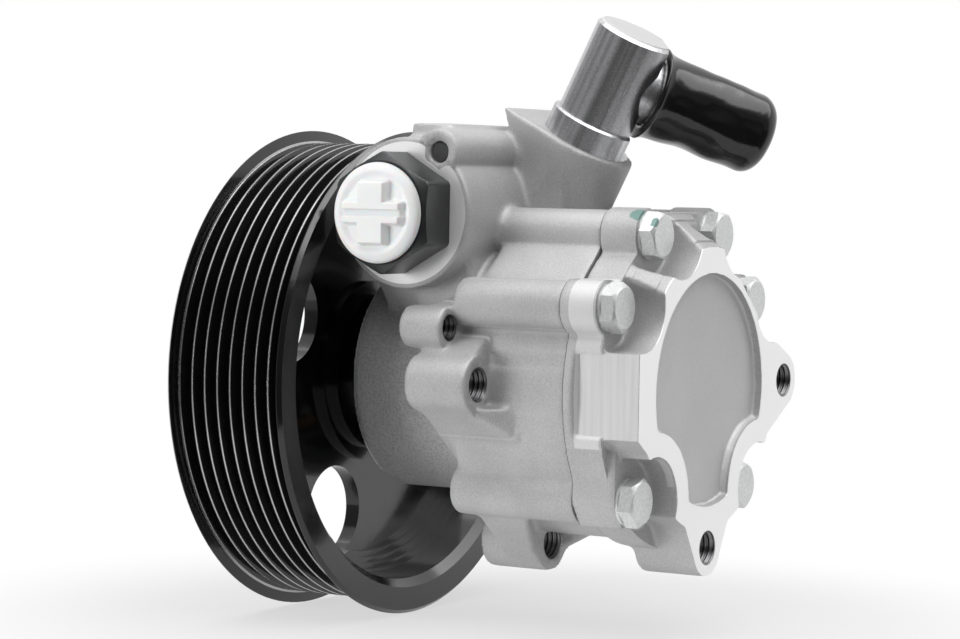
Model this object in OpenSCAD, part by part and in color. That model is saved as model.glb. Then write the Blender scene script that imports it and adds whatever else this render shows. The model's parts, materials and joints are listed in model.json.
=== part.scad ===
// Vane type power steering pump with a ribbed belt pulley.
// The shaft runs along Y, the belt's centre plane is y = 0, +Y is the rear cover and +Z is up.

/* [Pulley] */
// Number of belt ribs
rib_count = 8; // [4:1:10]
// Spacing of the belt ribs
rib_pitch = 3.56; // [3:0.01:4.7]
// Depth of the grooves
rib_depth = 2.9; // [2:0.1:3.4]
// Flat width on each crest
crest_flat = 0.7; // [0.4:0.05:0.9]
// Diameter over the crests
crest_d = 111; // [100:0.5:124]
// How far the end flanges stand above the crests
flange_rise = 3; // [1:0.1:5]
// Width of each end flange
flange_w = 1.86; // [1.2:0.02:4]
// Wall of the rim under the grooves
rim_wall = 2.4; // [1.5:0.1:4]
// Chamfer at the mouth of the rim
mouth_chamfer = 1.9; // [0.5:0.1:2.2]
// Thickness of the web
web_t = 3.8; // [2:0.1:6]
// Rear face of the web, measured back from the belt plane
web_rear = 1.7; // [-4:0.1:4]
// Number of steps where the web meets the rim
step_count = 4; // [2:1:5]
// Size of each step
step_size = 1.45; // [0.8:0.05:1.8]
// Number of holes through the web
web_holes = 4; // [3:1:5]
// Diameter of the web holes
web_hole_d = 22; // [12:0.5:24]
// Radius of the circle of web holes
web_hole_r = 36.4; // [34:0.2:38]
// Angle of the first web hole
web_hole_angle = 23; // [0:1:89]
// Diameter of the raised pad around the hub
pad_d = 44; // [42:0.5:48]
// Height of the raised pad
pad_h = 1.7; // [0.5:0.1:3]
// Diameter of the hub's foot
foot_d = 38; // [34:0.5:40]
// Height of the hub's foot above the pad
foot_h = 1.8; // [0.5:0.1:3]
// Diameter of the hub
hub_d = 28; // [24:0.5:32]
// Gap between the hub and the nose of the housing
hub_gap = 2.4; // [1:0.1:4]

/* [Shaft and bearing] */
// Bore of the bearing and diameter of the shaft in it
shaft_d = 17; // [15:0.5:19]
// How far the shaft stands out in front of the web
shaft_lead = 6; // [2:0.5:10]
// Tapped centre hole in the front of the shaft
centre_hole_d = 6.8; // [4:0.1:8]
// Depth of the centre hole
centre_hole_depth = 18; // [8:1:22]
// Outer diameter of the bearing
bearing_od = 40; // [38:0.5:44]
// Width of the bearing
bearing_w = 12; // [10:0.5:14]
// Diameter of the bearing balls
ball_d = 6.75; // [6:0.05:7]
// Number of bearing balls
ball_count = 8; // [6:1:8]
// Thickness of the bearing's circlip
circlip_t = 1.75; // [1.2:0.05:2]
// Depth of the circlip's groove in the wall
circlip_groove = 1.1; // [0.6:0.1:1.6]
// Radial width of the bearing's circlip
circlip_w = 3.2; // [2.6:0.1:4]
// Outer diameter of the shaft seal
seal_od = 32; // [29:0.5:35]
// Width of the shaft seal
seal_w = 7; // [5:0.5:9]
// Diameter of the rear journal
journal_d = 12; // [10:0.5:13]
// Number of spline teeth under the rotor
spline_teeth = 14; // [10:2:18]
// Wall of the rear bush
bush_wall = 2; // [1.2:0.1:3]
// Length of the rear bush
bush_len = 11; // [8:0.5:12]

/* [Pumping set] */
// Outer diameter of the cam ring
cam_od = 56.9; // [55:0.1:58]
// Width of the cam ring
cam_w = 18; // [14:0.5:22]
// Diameter of the rotor
rotor_d = 38.4; // [36:0.2:39]
// How far the cam's lobes rise
cam_lift = 2.9; // [1.5:0.1:3.2]
// Number of vanes
vane_count = 10; // [8:1:11]
// Thickness of a vane
vane_t = 1.8; // [1.4:0.1:2]
// Radial length of a vane
vane_len = 7; // [5:0.1:7.4]
// Thickness of the front port plate
front_plate_t = 6.5; // [5:0.1:9]
// Thickness of the rear port plate
rear_plate_t = 6; // [5:0.1:9]
// Diameter of the locating pins
pin_d = 3; // [2:0.1:3.4]

/* [Housing] */
// Front face of the nose, measured back from the belt plane
nose_front = 14.6; // [13:0.1:18]
// Diameter of the nose
nose_d = 54.2; // [52:0.2:58]
// Chamfer on the nose
nose_chamfer = 1.2; // [0.4:0.1:2]
// How far the circlip sits inside the nose
circlip_inset = 3.4; // [2:0.1:5]
// Gap between bearing and seal
seal_gap = 1; // [0.5:0.1:2]
// Wall between the seal and the pumping set
bulkhead_t = 7.1; // [5:0.1:9]
// Wall of the barrel around the pumping set
barrel_wall = 7.1; // [6:0.1:8]
// Diameter of the cover bolt bosses
bolt_boss_d = 11.4; // [10.5:0.1:13]
// How far the bolt bosses stop behind the barrel's front
boss_setback = 2.5; // [0:0.1:8]

/* [Mounting lugs] */
// Diameter of the tapped mounting holes
mount_hole_d = 6.8; // [5:0.1:8]
// Diameter of the mounting lugs
lug_d = 13.4; // [12:0.1:15]
// How far the lugs' front faces stand ahead of the barrel
lug_lead = 5; // [2:0.1:7]
// Length of the mounting lugs
lug_len = 15.6; // [12:0.1:20]
// Place of the side lug, across and up from the shaft
side_lug = [40, 1.2];
// Place of the lower lug, across and up from the shaft
lower_lug = [5, -37.6];
// Place of the small bracket lug, across and up from the shaft
bracket_lug = [38, 13.6];
// Diameter of the bracket lug
bracket_lug_d = 10; // [8:0.1:12]
// Hole in the bracket lug
bracket_hole_d = 5; // [4:0.1:6]
// Length of the bracket lug
bracket_lug_len = 10.6; // [7:0.1:14]
// How far the bracket lug stands ahead of the barrel
bracket_lug_lead = 9; // [5:0.1:10]
// Thickness of the webs that carry the lugs
lug_web_t = 8; // [6:0.1:10]

/* [Pressure port] */
// Height of the valve bore above the shaft
port_z = 39.3; // [38:0.1:44]
// How far the valve bore lies ahead of the pumping set
port_lead = 13.7; // [12:0.1:16]
// Outward face of the port, measured from the shaft
port_face = 34; // [30:0.1:38]
// Diameter of the valve body
valve_body_d = 35; // [33:0.2:38]
// Length of the valve body
valve_body_len = 60; // [56:0.5:70]
// Diameter of the machined seat round the port
spotface_d = 33.6; // [32:0.2:35]
// Diameter of the valve bore
valve_d = 16; // [14:0.1:17]
// Length of the valve spool
spool_len = 26; // [22:0.1:28]
// Travel of the valve spool
spool_travel = 6; // [3:0.1:7]
// Size of the union's hexagon across flats
union_af = 27; // [26:0.2:30]
// Height of the union's hexagon
union_h = 10.4; // [8:0.1:13]
// Diameter of the union's thread
union_thread_d = 22; // [20:0.1:23]
// Length of the union's thread
union_thread_len = 13.5; // [11:0.1:15]
// Socket in the union
union_socket_d = 17; // [15:0.1:18]
// Depth of the socket
union_socket_depth = 13; // [10:0.1:15]
// Diameter of the dust cap on the union
cap_d = 24.4; // [20:0.1:25.5]
// Thickness of the dust cap's head
cap_h = 2.2; // [1.6:0.1:3]
// Diameter of the boss for the gallery pin
gallery_boss_d = 10.8; // [9:0.1:13]
// Diameter of the gallery pin
gallery_pin_d = 5; // [4:0.1:6]
// Length of the gallery pin
gallery_pin_len = 12; // [8:0.5:16]
// Place of the gallery pin behind and above the valve bore
gallery_offset = [9.1, 14.1];

/* [Suction elbow] */
// Lean of the elbow towards the rear cover
elbow_tilt = 27; // [22:0.5:30]
// Offset of the elbow from the shaft's plane
elbow_x = -4; // [-8:0.5:2]
// Height of the pad under the elbow
elbow_pad_z = 56.6; // [55:0.1:60]
// How far the elbow's foot lies ahead of the cover joint
elbow_lead = 18; // [16:0.1:20]
// Width of the block under the elbow
elbow_block_w = 24; // [23:0.2:27]
// How far the block's lip stands ahead of the elbow
block_lip = 16; // [14:0.1:18]
// Diameter of the elbow's body
elbow_d = 18.9; // [18:0.1:20]
// Height of the elbow
elbow_h = 28.7; // [27:0.1:31]
// Height of the collar at the elbow's foot
collar_h = 6; // [3:0.1:7]
// Diameter of the elbow's spigot
spigot_d = 16; // [14:0.1:17]
// Length of the spigot
spigot_len = 13; // [9:0.1:14]
// Direction of the hose stub round the elbow
stub_angle = 133; // [110:1:160]
// Height of the hose stub above the pad
stub_z = 16.5; // [14.5:0.1:18]
// Outer diameter of the hose stub
stub_d = 15.6; // [14:0.1:16]
// Reach of the hose stub from the elbow's axis
stub_len = 34.5; // [28:0.5:38]
// Wall of the vinyl cap on the stub
vinyl_wall = 2.2; // [1.4:0.1:2.6]
// Bore of the fluid passages
passage_d = 11; // [8:0.1:12]

/* [Rear cover] */
// Thickness of the cover at its upper bolts
cover_flange_t = 9.2; // [8:0.1:11]
// How much further back the lower bolts sit
lower_rise = 1.6; // [0.5:0.1:3]
// Full depth of the cover
cover_t = 18.2; // [16.5:0.1:21]
// Diameter of the raised mounting face
face_d = 65.2; // [63:0.2:68]
// Diameter of the recess in the mounting face
recess_d = 53.4; // [51:0.2:56]
// Rim left between the recess and the shaved upper corner
shave_rim = 1.6; // [1:0.1:4]
// Depth of the recess
recess_depth = 2; // [1:0.1:2.6]
// Distance of the milled side flat from the shaft
side_flat = 34.8; // [33.5:0.1:35.4]
// Half height of the milled side flat
side_flat_half = 9.6; // [8:0.1:11]
// Distance of the rear ear holes from the shaft
side_ear_r = 38.8; // [37:0.1:42]
// Distance of the lower ear hole from the shaft
lower_ear_r = 36.4; // [35:0.1:40]
// Radius of the ears
ear_r = 6.6; // [5.8:0.1:7.6]
// Depth of the tapped ear holes
ear_hole_depth = 14; // [10:0.1:15]
// Radius of the scoops around the upper bolt heads
scoop_r = 9.8; // [9:0.1:10.2]
// Radius of the scoops around the lower bolt heads
lower_scoop_r = 10.4; // [9.5:0.1:11.2]
// Section of the cover's sealing ring
cover_seal_t = 2; // [1.6:0.1:2.1]

/* [Cover bolts] */
// Radius of the circle of the upper bolts
bolt_circle_r = 38.4; // [37.6:0.1:40]
// Radius of the circle of the lower bolts
lower_bolt_r = 35.4; // [35.2:0.1:38]
// Thread diameter of the cover bolts
bolt_d = 6; // [5:0.5:6]
// Size of the bolt heads across flats
bolt_af = 10; // [9:0.1:11]
// Height of the bolt heads
bolt_head_h = 4.2; // [3:0.1:5]
// Length of the bolts under the head
bolt_len = 24; // [18:0.5:28]

/* [Hidden] */

fine = 96;
medium = 48;
cut = 1;             // overrun of a cut past the face it opens
slip = 0.05;         // radial clearance of fitted pieces
run = 0.05;          // radial clearance of pieces that turn or slide
rest_gap = 0.3;      // gap between flat faces of pieces that move apart

// Pulley
ribs_w = rib_count * rib_pitch;
rim_half = ribs_w / 2 + flange_w;
crest_r = crest_d / 2;
root_r = crest_r - rib_depth;
flange_r = crest_r + flange_rise;
rim_bore_r = root_r - rim_wall;
groove_half_angle = 20;
root_flat = rib_pitch - crest_flat - 2 * rib_depth * tan(groove_half_angle);
flange_edge = flange_w * 0.45;
web_front = web_rear - web_t;
hub_rear = nose_front - hub_gap;

// Axial stations
bearing_front = nose_front + circlip_inset + circlip_t;
bearing_rear = bearing_front + bearing_w;
seal_front = bearing_rear + seal_gap;
seal_rear = seal_front + seal_w;
cavity_front = seal_rear + bulkhead_t;
cam_front = cavity_front + front_plate_t;
cam_rear = cam_front + cam_w;
joint_y = cam_rear + rear_plate_t;
bolt_seat = joint_y + cover_flange_t;
lower_seat = bolt_seat + lower_rise;
cover_face = joint_y + cover_t;

// Bearing
ball_track_r = (shaft_d + bearing_od) / 4;
ball_r = ball_d / 2;
track_r = ball_r + run;
shoulder_gap = ball_d * 0.37;
cage_w = ball_d + 1.8;
cage_t = ball_d * 0.3;

// Shaft
spline_tip_r = shaft_d / 2 - 0.5;
spline_root_r = spline_tip_r - 0.9;
spline_tooth_w = 3.14 * spline_tip_r / spline_teeth;
spline_front = cam_front - 1;
retainer_t = 1.2;
retainer_r = spline_tip_r + 2;
retainer_y = cam_rear + rest_gap;
groove_r = journal_d / 2 + 0.4;
shaft_front = web_front - shaft_lead;
bush_floor = joint_y + bush_len + cut;
shaft_rear = joint_y + bush_len;
bush_r = journal_d / 2 + run + bush_wall;

// Pumping set
cavity_r = cam_od / 2 + slip;
rotor_r = rotor_d / 2;
cam_min_r = rotor_r + 0.25;
vane_tip_r = rotor_r + 0.05;
vane_slot = vane_t + 2 * slip;
pin_circle_r = (cam_min_r + cam_od / 2) / 2 + 0.2;
pin_angles = [90, 270];
pin_depth = 4;
side_clear = 0.03;

// Housing
barrel_r = cavity_r + barrel_wall;
nose_r = nose_d / 2;
shoulder_front = cavity_front - 6;
lug_front = cavity_front - lug_lead;
lug_rear = lug_front + lug_len;
bracket_front = cavity_front - bracket_lug_lead;
bracket_rear = bracket_front + bracket_lug_len;
boss_front = cavity_front + boss_setback;
rib_front = cavity_front - 2;
web_inset = 0.5;
gusset_run = 7.5;
gusset_top = -4;
side_feet = [[24, 18], [24, -19.5]];
lower_feet = [[28, -28], [-16, -26]];
bracket_feet = [[31, 20.5], [36.5, 4]];
pulley_clear = 1;
bolt_hole_d = bolt_d + 2 * slip;
bolt_drill = bolt_seat - bolt_len - 3;
upper_bolts = 4;
bolt_angles = [30.5, 66.8, 113.2, 149.5, -43, -137];
bolt_turns = [30, -11, -9, 20, 17, 40];

// Pressure port
port_y = cavity_front - port_lead;
valve_end = port_face - valve_body_len;
union_inner = port_face - union_thread_len;
spool_right = union_inner - rest_gap;
spool_left = spool_right - spool_len;
spring_pocket = 9;
spring_floor = spool_left + spring_pocket;
bore_end = spool_left - spool_travel - 5;
spring_wire = 1.6;
spring_r = valve_d / 2 - 3.6;
spring_turns = 6;
gallery_y = port_y + gallery_offset[0];
gallery_z = port_z + gallery_offset[1];
gallery_face = port_face + 0.8;
gallery_block_top = gallery_z + gallery_boss_d / 2 + 1.2;

// Suction elbow
elbow_y = joint_y - elbow_lead;
block_drop = (elbow_pad_z - port_z + 10) / cos(elbow_tilt);
drill_reach = spigot_len + cut;
drill_y = elbow_y - drill_reach * sin(elbow_tilt);
drill_top = elbow_pad_z - drill_reach * cos(elbow_tilt) + 2;
vinyl_bore_r = stub_d / 2 + run;
vinyl_start = elbow_d / 2;
vinyl_end = stub_len + rest_gap + vinyl_wall;
vinyl_r = vinyl_bore_r + vinyl_wall;

// Rear cover
side_ear = [-side_ear_r, 0.4];
lower_ear = [0, -lower_ear_r];
side_ear_feet = [[-20, -18], [-20, 17]];
lower_ear_feet = [[14, -26], [-15, -22]];
cover_r = barrel_r + 1.6;
crown_z = bolt_circle_r * sin(bolt_angles[1]) + bolt_boss_d / 2 - 0.6;
crown_half = bolt_circle_r * cos(bolt_angles[1]);
flat_y = joint_y + 2.5;
seal_in = cavity_r + 1.2;

// Place of a cover bolt across and up from the shaft
function bolt_at(i) = (i < upper_bolts ? bolt_circle_r : lower_bolt_r) * [cos(bolt_angles[i]), sin(bolt_angles[i])];

// Station of the face under a cover bolt's head
function seat_at(i) = i < upper_bolts ? bolt_seat : lower_seat;

// Point where a line from b meets the circle of radius r about c, on the given side, just short of grazing it
function tangent(b, c, r, side) =
    let (d = c - b, reach = norm(d), near = r - 0.1, lean = atan2(d[1], d[0]) + side * asin(near / reach))
    b + sqrt(reach * reach - near * near) * [cos(lean), sin(lean)];

// Round piece about the shaft, from a profile of radius and y
module turned() { rotate([-90, 0, 0]) rotate_extrude($fn = fine) children(); }

// Ring about the shaft between two y stations
module ring_y(y0, y1, outer_r, inner_r) {
    turned() translate([inner_r, y0]) square([outer_r - inner_r, y1 - y0]);
}

// Outline across and up from the shaft, filled between two y stations
module plate(y0, y1) { translate([0, y1, 0]) rotate([90, 0, 0]) linear_extrude(y1 - y0) children(); }

// Round bar along the shaft's direction at a place across and up
module bar_y(at, y0, y1, d) {
    translate([at[0], y0, at[1]]) rotate([-90, 0, 0]) cylinder(h = y1 - y0, d = d, $fn = medium);
}

// Frame of the valve bore: local Z runs outwards along +X from the shaft's plane
module valve_frame() { translate([0, port_y, port_z]) rotate([0, 90, 0]) children(); }

// Bar along the valve bore between two distances from the shaft's plane
module bar_x(x0, x1, d) { valve_frame() translate([0, 0, x0]) cylinder(h = x1 - x0, d = d, $fn = fine); }

// Frame of the suction elbow: local Z runs up its axis from the pad
module elbow_frame() { translate([elbow_x, elbow_y, elbow_pad_z]) rotate([-elbow_tilt, 0, 0]) children(); }

// Frame of the hose stub: local Z runs out along the stub from the elbow's axis
module stub_frame() { elbow_frame() translate([0, 0, stub_z]) rotate([0, 0, stub_angle]) rotate([0, 90, 0]) children(); }

// Profile of the belt rim with its grooves
module rim_profile() {
    grooves = [for (i = [0 : rib_count - 1])
        let (mid = (i - (rib_count - 1) / 2) * rib_pitch, top = (rib_pitch - crest_flat) / 2)
        each [[crest_r, mid - top], [root_r, mid - root_flat / 2],
              [root_r, mid + root_flat / 2], [crest_r, mid + top]]];
    polygon(concat(
        [[rim_bore_r, -rim_half + mouth_chamfer], [rim_bore_r + mouth_chamfer, -rim_half],
         [flange_r - flange_edge, -rim_half], [flange_r, -rim_half + flange_edge],
         [flange_r, -rim_half + 1.3 * flange_edge], [crest_r, -ribs_w / 2]],
        grooves,
        [[crest_r, ribs_w / 2], [flange_r, rim_half - 1.3 * flange_edge], [flange_r, rim_half - flange_edge],
         [flange_r - flange_edge, rim_half], [rim_bore_r + mouth_chamfer, rim_half],
         [rim_bore_r, rim_half - mouth_chamfer]]));
}

module pulley() {
    bore_r = shaft_d / 2;
    pad_y = web_rear + pad_h;
    color("#17181a") difference() {
        turned() {
            rim_profile();
            translate([bore_r, web_front]) square([rim_bore_r + rim_wall / 2 - bore_r, web_t]);
            for (i = [1 : step_count])
                translate([rim_bore_r - i * step_size, web_rear - web_t / 2])
                    square([i * step_size + rim_wall / 2, web_t / 2 + (step_count + 1 - i) * step_size]);
            translate([bore_r, web_rear - web_t / 2]) square([pad_d / 2 - bore_r, web_t / 2 + pad_h]);
            translate([bore_r, web_rear]) square([foot_d / 2 - bore_r, pad_h + foot_h]);
            translate([bore_r, pad_y]) square([hub_d / 2 - bore_r, hub_rear - pad_y]);
        }
        for (i = [0 : web_holes - 1])
            let (a = web_hole_angle + i * 360 / web_holes)
                bar_y(web_hole_r * [cos(a), sin(a)], web_front - cut, web_rear + step_count * step_size + cut,
                      web_hole_d);
    }
}

// Outline of a splined bar
module spline(root_r, tip_r, tooth_w) {
    circle(root_r, $fn = medium);
    for (i = [0 : spline_teeth - 1]) rotate(i * 360 / spline_teeth)
        translate([0, -tooth_w / 2]) square([tip_r, tooth_w]);
}

module drive_shaft() {
    r = shaft_d / 2;
    edge = 0.8;
    collar_r = r + 1.6;
    rear_r = journal_d / 2;
    color("#b9bcc0") difference() {
        union() {
            turned() difference() {
                polygon([[0, shaft_front], [r - edge, shaft_front], [r, shaft_front + edge],
                         [r, bearing_rear + slip], [collar_r, bearing_rear + slip],
                         [collar_r, seal_front], [r, seal_front], [r, spline_front],
                         [spline_root_r, spline_front], [spline_root_r, cam_rear],
                         [rear_r, cam_rear], [rear_r, shaft_rear - edge], [rear_r - edge, shaft_rear],
                         [0, shaft_rear]]);
                translate([groove_r - slip, retainer_y]) square([r, retainer_t]);
            }
            plate(spline_front - edge, cam_rear) spline(spline_root_r, spline_tip_r, spline_tooth_w);
        }
        bar_y([0, 0], shaft_front - cut, shaft_front + centre_hole_depth, centre_hole_d);
    }
}

module bearing_circlip() {
    outer_r = bearing_od / 2 + circlip_groove;
    gap = 9;
    eye = 2.4;
    eye_r = outer_r - circlip_w - 0.3;
    eye_x = gap / 2 + eye / 2 + 1;
    color("#54575a") difference() {
        union() {
            difference() {
                ring_y(bearing_front - circlip_t, bearing_front, outer_r, outer_r - circlip_w);
                plate(bearing_front - circlip_t - cut, bearing_front + cut)
                    translate([-gap / 2, 0]) square([gap, outer_r + cut]);
            }
            for (s = [-1, 1]) bar_y([s * eye_x, eye_r], bearing_front - circlip_t, bearing_front, eye + 2.4);
        }
        for (s = [-1, 1])
            bar_y([s * eye_x, eye_r], bearing_front - circlip_t - cut, bearing_front + cut, eye);
    }
}

// Bearing ring between two radii with the ball track turned into it
module bearing_ring(inner_r, outer_r) {
    turned() difference() {
        translate([inner_r, bearing_front]) square([outer_r - inner_r, bearing_w]);
        translate([ball_track_r, bearing_front + bearing_w / 2]) circle(track_r, $fn = medium);
    }
}

module bearing_outer_ring() { color("#c6c9cc") bearing_ring(ball_track_r + shoulder_gap, bearing_od / 2); }

module bearing_inner_ring() { color("#c6c9cc") bearing_ring(shaft_d / 2, ball_track_r - shoulder_gap); }

// Children placed at every ball's centre
module at_balls() {
    for (i = [0 : ball_count - 1]) rotate([0, i * 360 / ball_count, 0])
        translate([ball_track_r, bearing_front + bearing_w / 2, 0]) children();
}

module bearing_balls() { color("#d9dcdf") at_balls() sphere(ball_r, $fn = medium); }

module bearing_cage() {
    mid = bearing_front + bearing_w / 2;
    color("#a8894a") difference() {
        ring_y(mid - cage_w / 2, mid + cage_w / 2, ball_track_r + cage_t / 2, ball_track_r - cage_t / 2);
        at_balls() rotate([0, 90, 0]) cylinder(h = 2 * cage_t, r = ball_r + slip, center = true, $fn = medium);
    }
}

module shaft_seal() {
    lip_r = shaft_d / 2 + run;
    wall = 1.6;
    color("#202224") turned() polygon([
        [seal_od / 2, seal_front], [seal_od / 2, seal_rear], [seal_od / 2 - wall, seal_rear],
        [seal_od / 2 - wall, seal_front + wall], [lip_r + 2.4, seal_front + wall],
        [lip_r + 1.6, seal_rear - wall], [lip_r, seal_rear - 1.4 * wall], [lip_r + 0.9, seal_front]]);
}

// Inner outline of the cam ring, with two lobes
module cam_track() {
    steps = 72;
    polygon([for (i = [0 : steps - 1])
        let (a = i * 360 / steps, r = cam_min_r + cam_lift * (1 + cos(2 * a)) / 2) r * [cos(a), sin(a)]]);
}

// Holes for the locating pins
module pin_holes(y0, y1, d) {
    for (a = pin_angles) bar_y(pin_circle_r * [cos(a), sin(a)], y0, y1, d);
}

module cam_ring() {
    color("#8f9396") difference() {
        plate(cam_front, cam_rear) difference() {
            circle(cam_od / 2, $fn = fine);
            cam_track();
        }
        pin_holes(cam_front - cut, cam_rear + cut, pin_d + 2 * slip);
    }
}

// Two opposed ports through a plate, set between the cam's lobes
module port_slots(y0, y1) {
    port_r = (rotor_r + cam_min_r) / 2 - 0.6;
    for (a = [35, 145, 215, 325]) bar_y(port_r * [cos(a), sin(a)], y0, y1, 5);
}

module front_port_plate() {
    bore_r = shaft_d / 2 + 1;
    color("#9ea2a5") difference() {
        ring_y(cavity_front, cam_front, cam_od / 2, bore_r);
        port_slots(cavity_front - cut, cam_front + cut);
        pin_holes(cam_front - pin_depth, cam_front + cut, pin_d + 2 * slip);
    }
}

module rear_port_plate() {
    color("#9ea2a5") difference() {
        ring_y(cam_rear, joint_y, cam_od / 2, retainer_r + 0.6);
        port_slots(cam_rear - cut, joint_y + cut);
        pin_holes(cam_rear - cut, joint_y + cut, pin_d + 2 * slip);
    }
}

module rotor() {
    color("#84888b") plate(cam_front + side_clear, cam_rear - side_clear) difference() {
        circle(rotor_r, $fn = fine);
        spline(spline_root_r + slip, spline_tip_r + slip, spline_tooth_w + 2 * slip);
        for (i = [0 : vane_count - 1]) rotate((i + 0.5) * 360 / vane_count)
            translate([vane_tip_r - vane_len - 0.4, -vane_slot / 2]) square([vane_len + 2, vane_slot]);
    }
}

module vanes() {
    nose = vane_t / 2;
    color("#b4b7ba") plate(cam_front + side_clear, cam_rear - side_clear)
        for (i = [0 : vane_count - 1]) rotate((i + 0.5) * 360 / vane_count) {
            translate([vane_tip_r - vane_len, -vane_t / 2]) square([vane_len - nose, vane_t]);
            translate([vane_tip_r - nose, 0]) circle(nose, $fn = 24);
        }
}

module rotor_circlip() {
    color("#54575a") difference() {
        ring_y(retainer_y + side_clear, retainer_y + retainer_t - side_clear, retainer_r, groove_r);
        plate(retainer_y - cut, retainer_y + retainer_t + cut)
            translate([-journal_d * 0.3, 0]) square([journal_d * 0.6, retainer_r + cut]);
    }
}

module locating_pins() {
    color("#c2c5c8") pin_holes(cam_front - pin_depth + slip, joint_y + pin_depth - slip, pin_d);
}

// Bars along every cover bolt
module at_bolts(y0, y1, d) { for (i = [0 : len(bolt_angles) - 1]) bar_y(bolt_at(i), y0, y1, d); }

// Block under the suction elbow: a wall towards the valve body and a round boss along the elbow
module suction_block() {
    lip = elbow_y - block_lip;
    top = elbow_pad_z + block_lip * tan(elbow_tilt);
    foot = port_z - 6;
    translate([elbow_x - elbow_block_w / 2, 0, 0]) rotate([90, 0, 90]) linear_extrude(elbow_block_w)
        polygon([[lip, top], [lip + 2, top - 7], [lip + 5.4, port_z + 4], [lip + 5.4, foot], [elbow_y, foot],
                 [elbow_y, elbow_pad_z]]);
    elbow_frame() translate([0, 0, -block_drop]) cylinder(h = block_drop, d = elbow_block_w + 0.4, $fn = fine);
}

// Round end of an ear and the wall that carries it, from two foot points and the shaft's side
module ear(at, r, feet) {
    polygon([feet[0], tangent(feet[0], at, r, 1), tangent(feet[1], at, r, -1), feet[1], at / 2]);
    translate(at) circle(r, $fn = medium);
}

// Fill between two bolt bosses, up to a distance beyond the line of their centres
module boss_fill(i, j, out) {
    middle = (bolt_angles[i] + bolt_angles[j]) / 2;
    shift = out * [cos(middle), sin(middle)];
    polygon([[0, 0], bolt_at(i) + shift, bolt_at(j) + shift]);
}

// Children kept where the plan outline, across and along the shaft, covers them between two heights
module within_plan(z0, z1, outline) {
    intersection() {
        children();
        translate([0, 0, z0]) linear_extrude(z1 - z0) polygon(outline);
    }
}

module mounting_lugs() {
    lug_r = lug_d / 2;
    web_rear_y = lug_rear - web_inset;
    gusset_y = web_rear_y + gusset_run;
    edge_x = side_lug[0] + 2.5;
    wall_x = lower_lug[0] + lug_r;
    rib_x = bolt_at(upper_bolts)[0];
    bar_y(side_lug, lug_front, lug_rear, lug_d);
    bar_y(lower_lug, lug_front, lug_rear, lug_d);
    bar_y(bracket_lug, bracket_front, bracket_rear, bracket_lug_d);
    plate(lug_front + 1.5, web_rear_y) ear(side_lug, lug_r, side_feet);
    plate(bracket_rear - 5, bracket_rear - web_inset) ear(bracket_lug, bracket_lug_d / 2, bracket_feet);
    within_plan(-barrel_r, gusset_top, [[nose_r, lug_front + 2], [edge_x, lug_front + 2], [edge_x, web_rear_y],
                                        [barrel_r - 1, gusset_y], [nose_r, gusset_y]])
        plate(lug_front + 1.5, lug_rear + gusset_run) ear(side_lug, lug_r, side_feet);
    within_plan(-2 * barrel_r, 0, [[-barrel_r, cavity_front], [barrel_r, cavity_front], [barrel_r, gusset_y],
                                   [rib_x, gusset_y - 2], [wall_x, web_rear_y], [-barrel_r, web_rear_y]])
        plate(cavity_front + 2, lug_rear + gusset_run) ear(lower_lug, lug_r, lower_feet);
    translate([lower_lug[0] - lug_r - 1.4, 0, 0]) rotate([90, 0, 90]) linear_extrude(lug_web_t / 2)
        polygon([[lug_rear - 4, lower_lug[1] - 4], [lug_rear + 10, -barrel_r + 1.4], [lug_rear - 4, -nose_r]]);
}

module housing_casting() {
    turned() polygon([
        [0, nose_front], [nose_r - nose_chamfer, nose_front], [nose_r, nose_front + nose_chamfer],
        [nose_r, shoulder_front], [barrel_r, cavity_front], [barrel_r, joint_y], [0, joint_y]]);
    for (i = [0 : len(bolt_angles) - 1])
        bar_y(bolt_at(i), i < upper_bolts ? boss_front : rib_front, joint_y, bolt_boss_d);
    plate(boss_front + 2, joint_y) boss_fill(0, 1, 1.4);
    mounting_lugs();
    bar_x(valve_end, port_face, valve_body_d);
    plate(port_y - valve_body_d * 0.36, cavity_front + cut)
        translate([valve_end, 0]) square([port_face - valve_end - 6, port_z]);
    translate([valve_end + 6, gallery_y - gallery_boss_d, port_z])
        cube([port_face - valve_end - 11, gallery_boss_d, gallery_block_top - port_z]);
    translate([elbow_x, gallery_y, gallery_z]) rotate([0, 90, 0])
        cylinder(h = gallery_face - elbow_x, d = gallery_boss_d, $fn = medium);
    suction_block();
}

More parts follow.
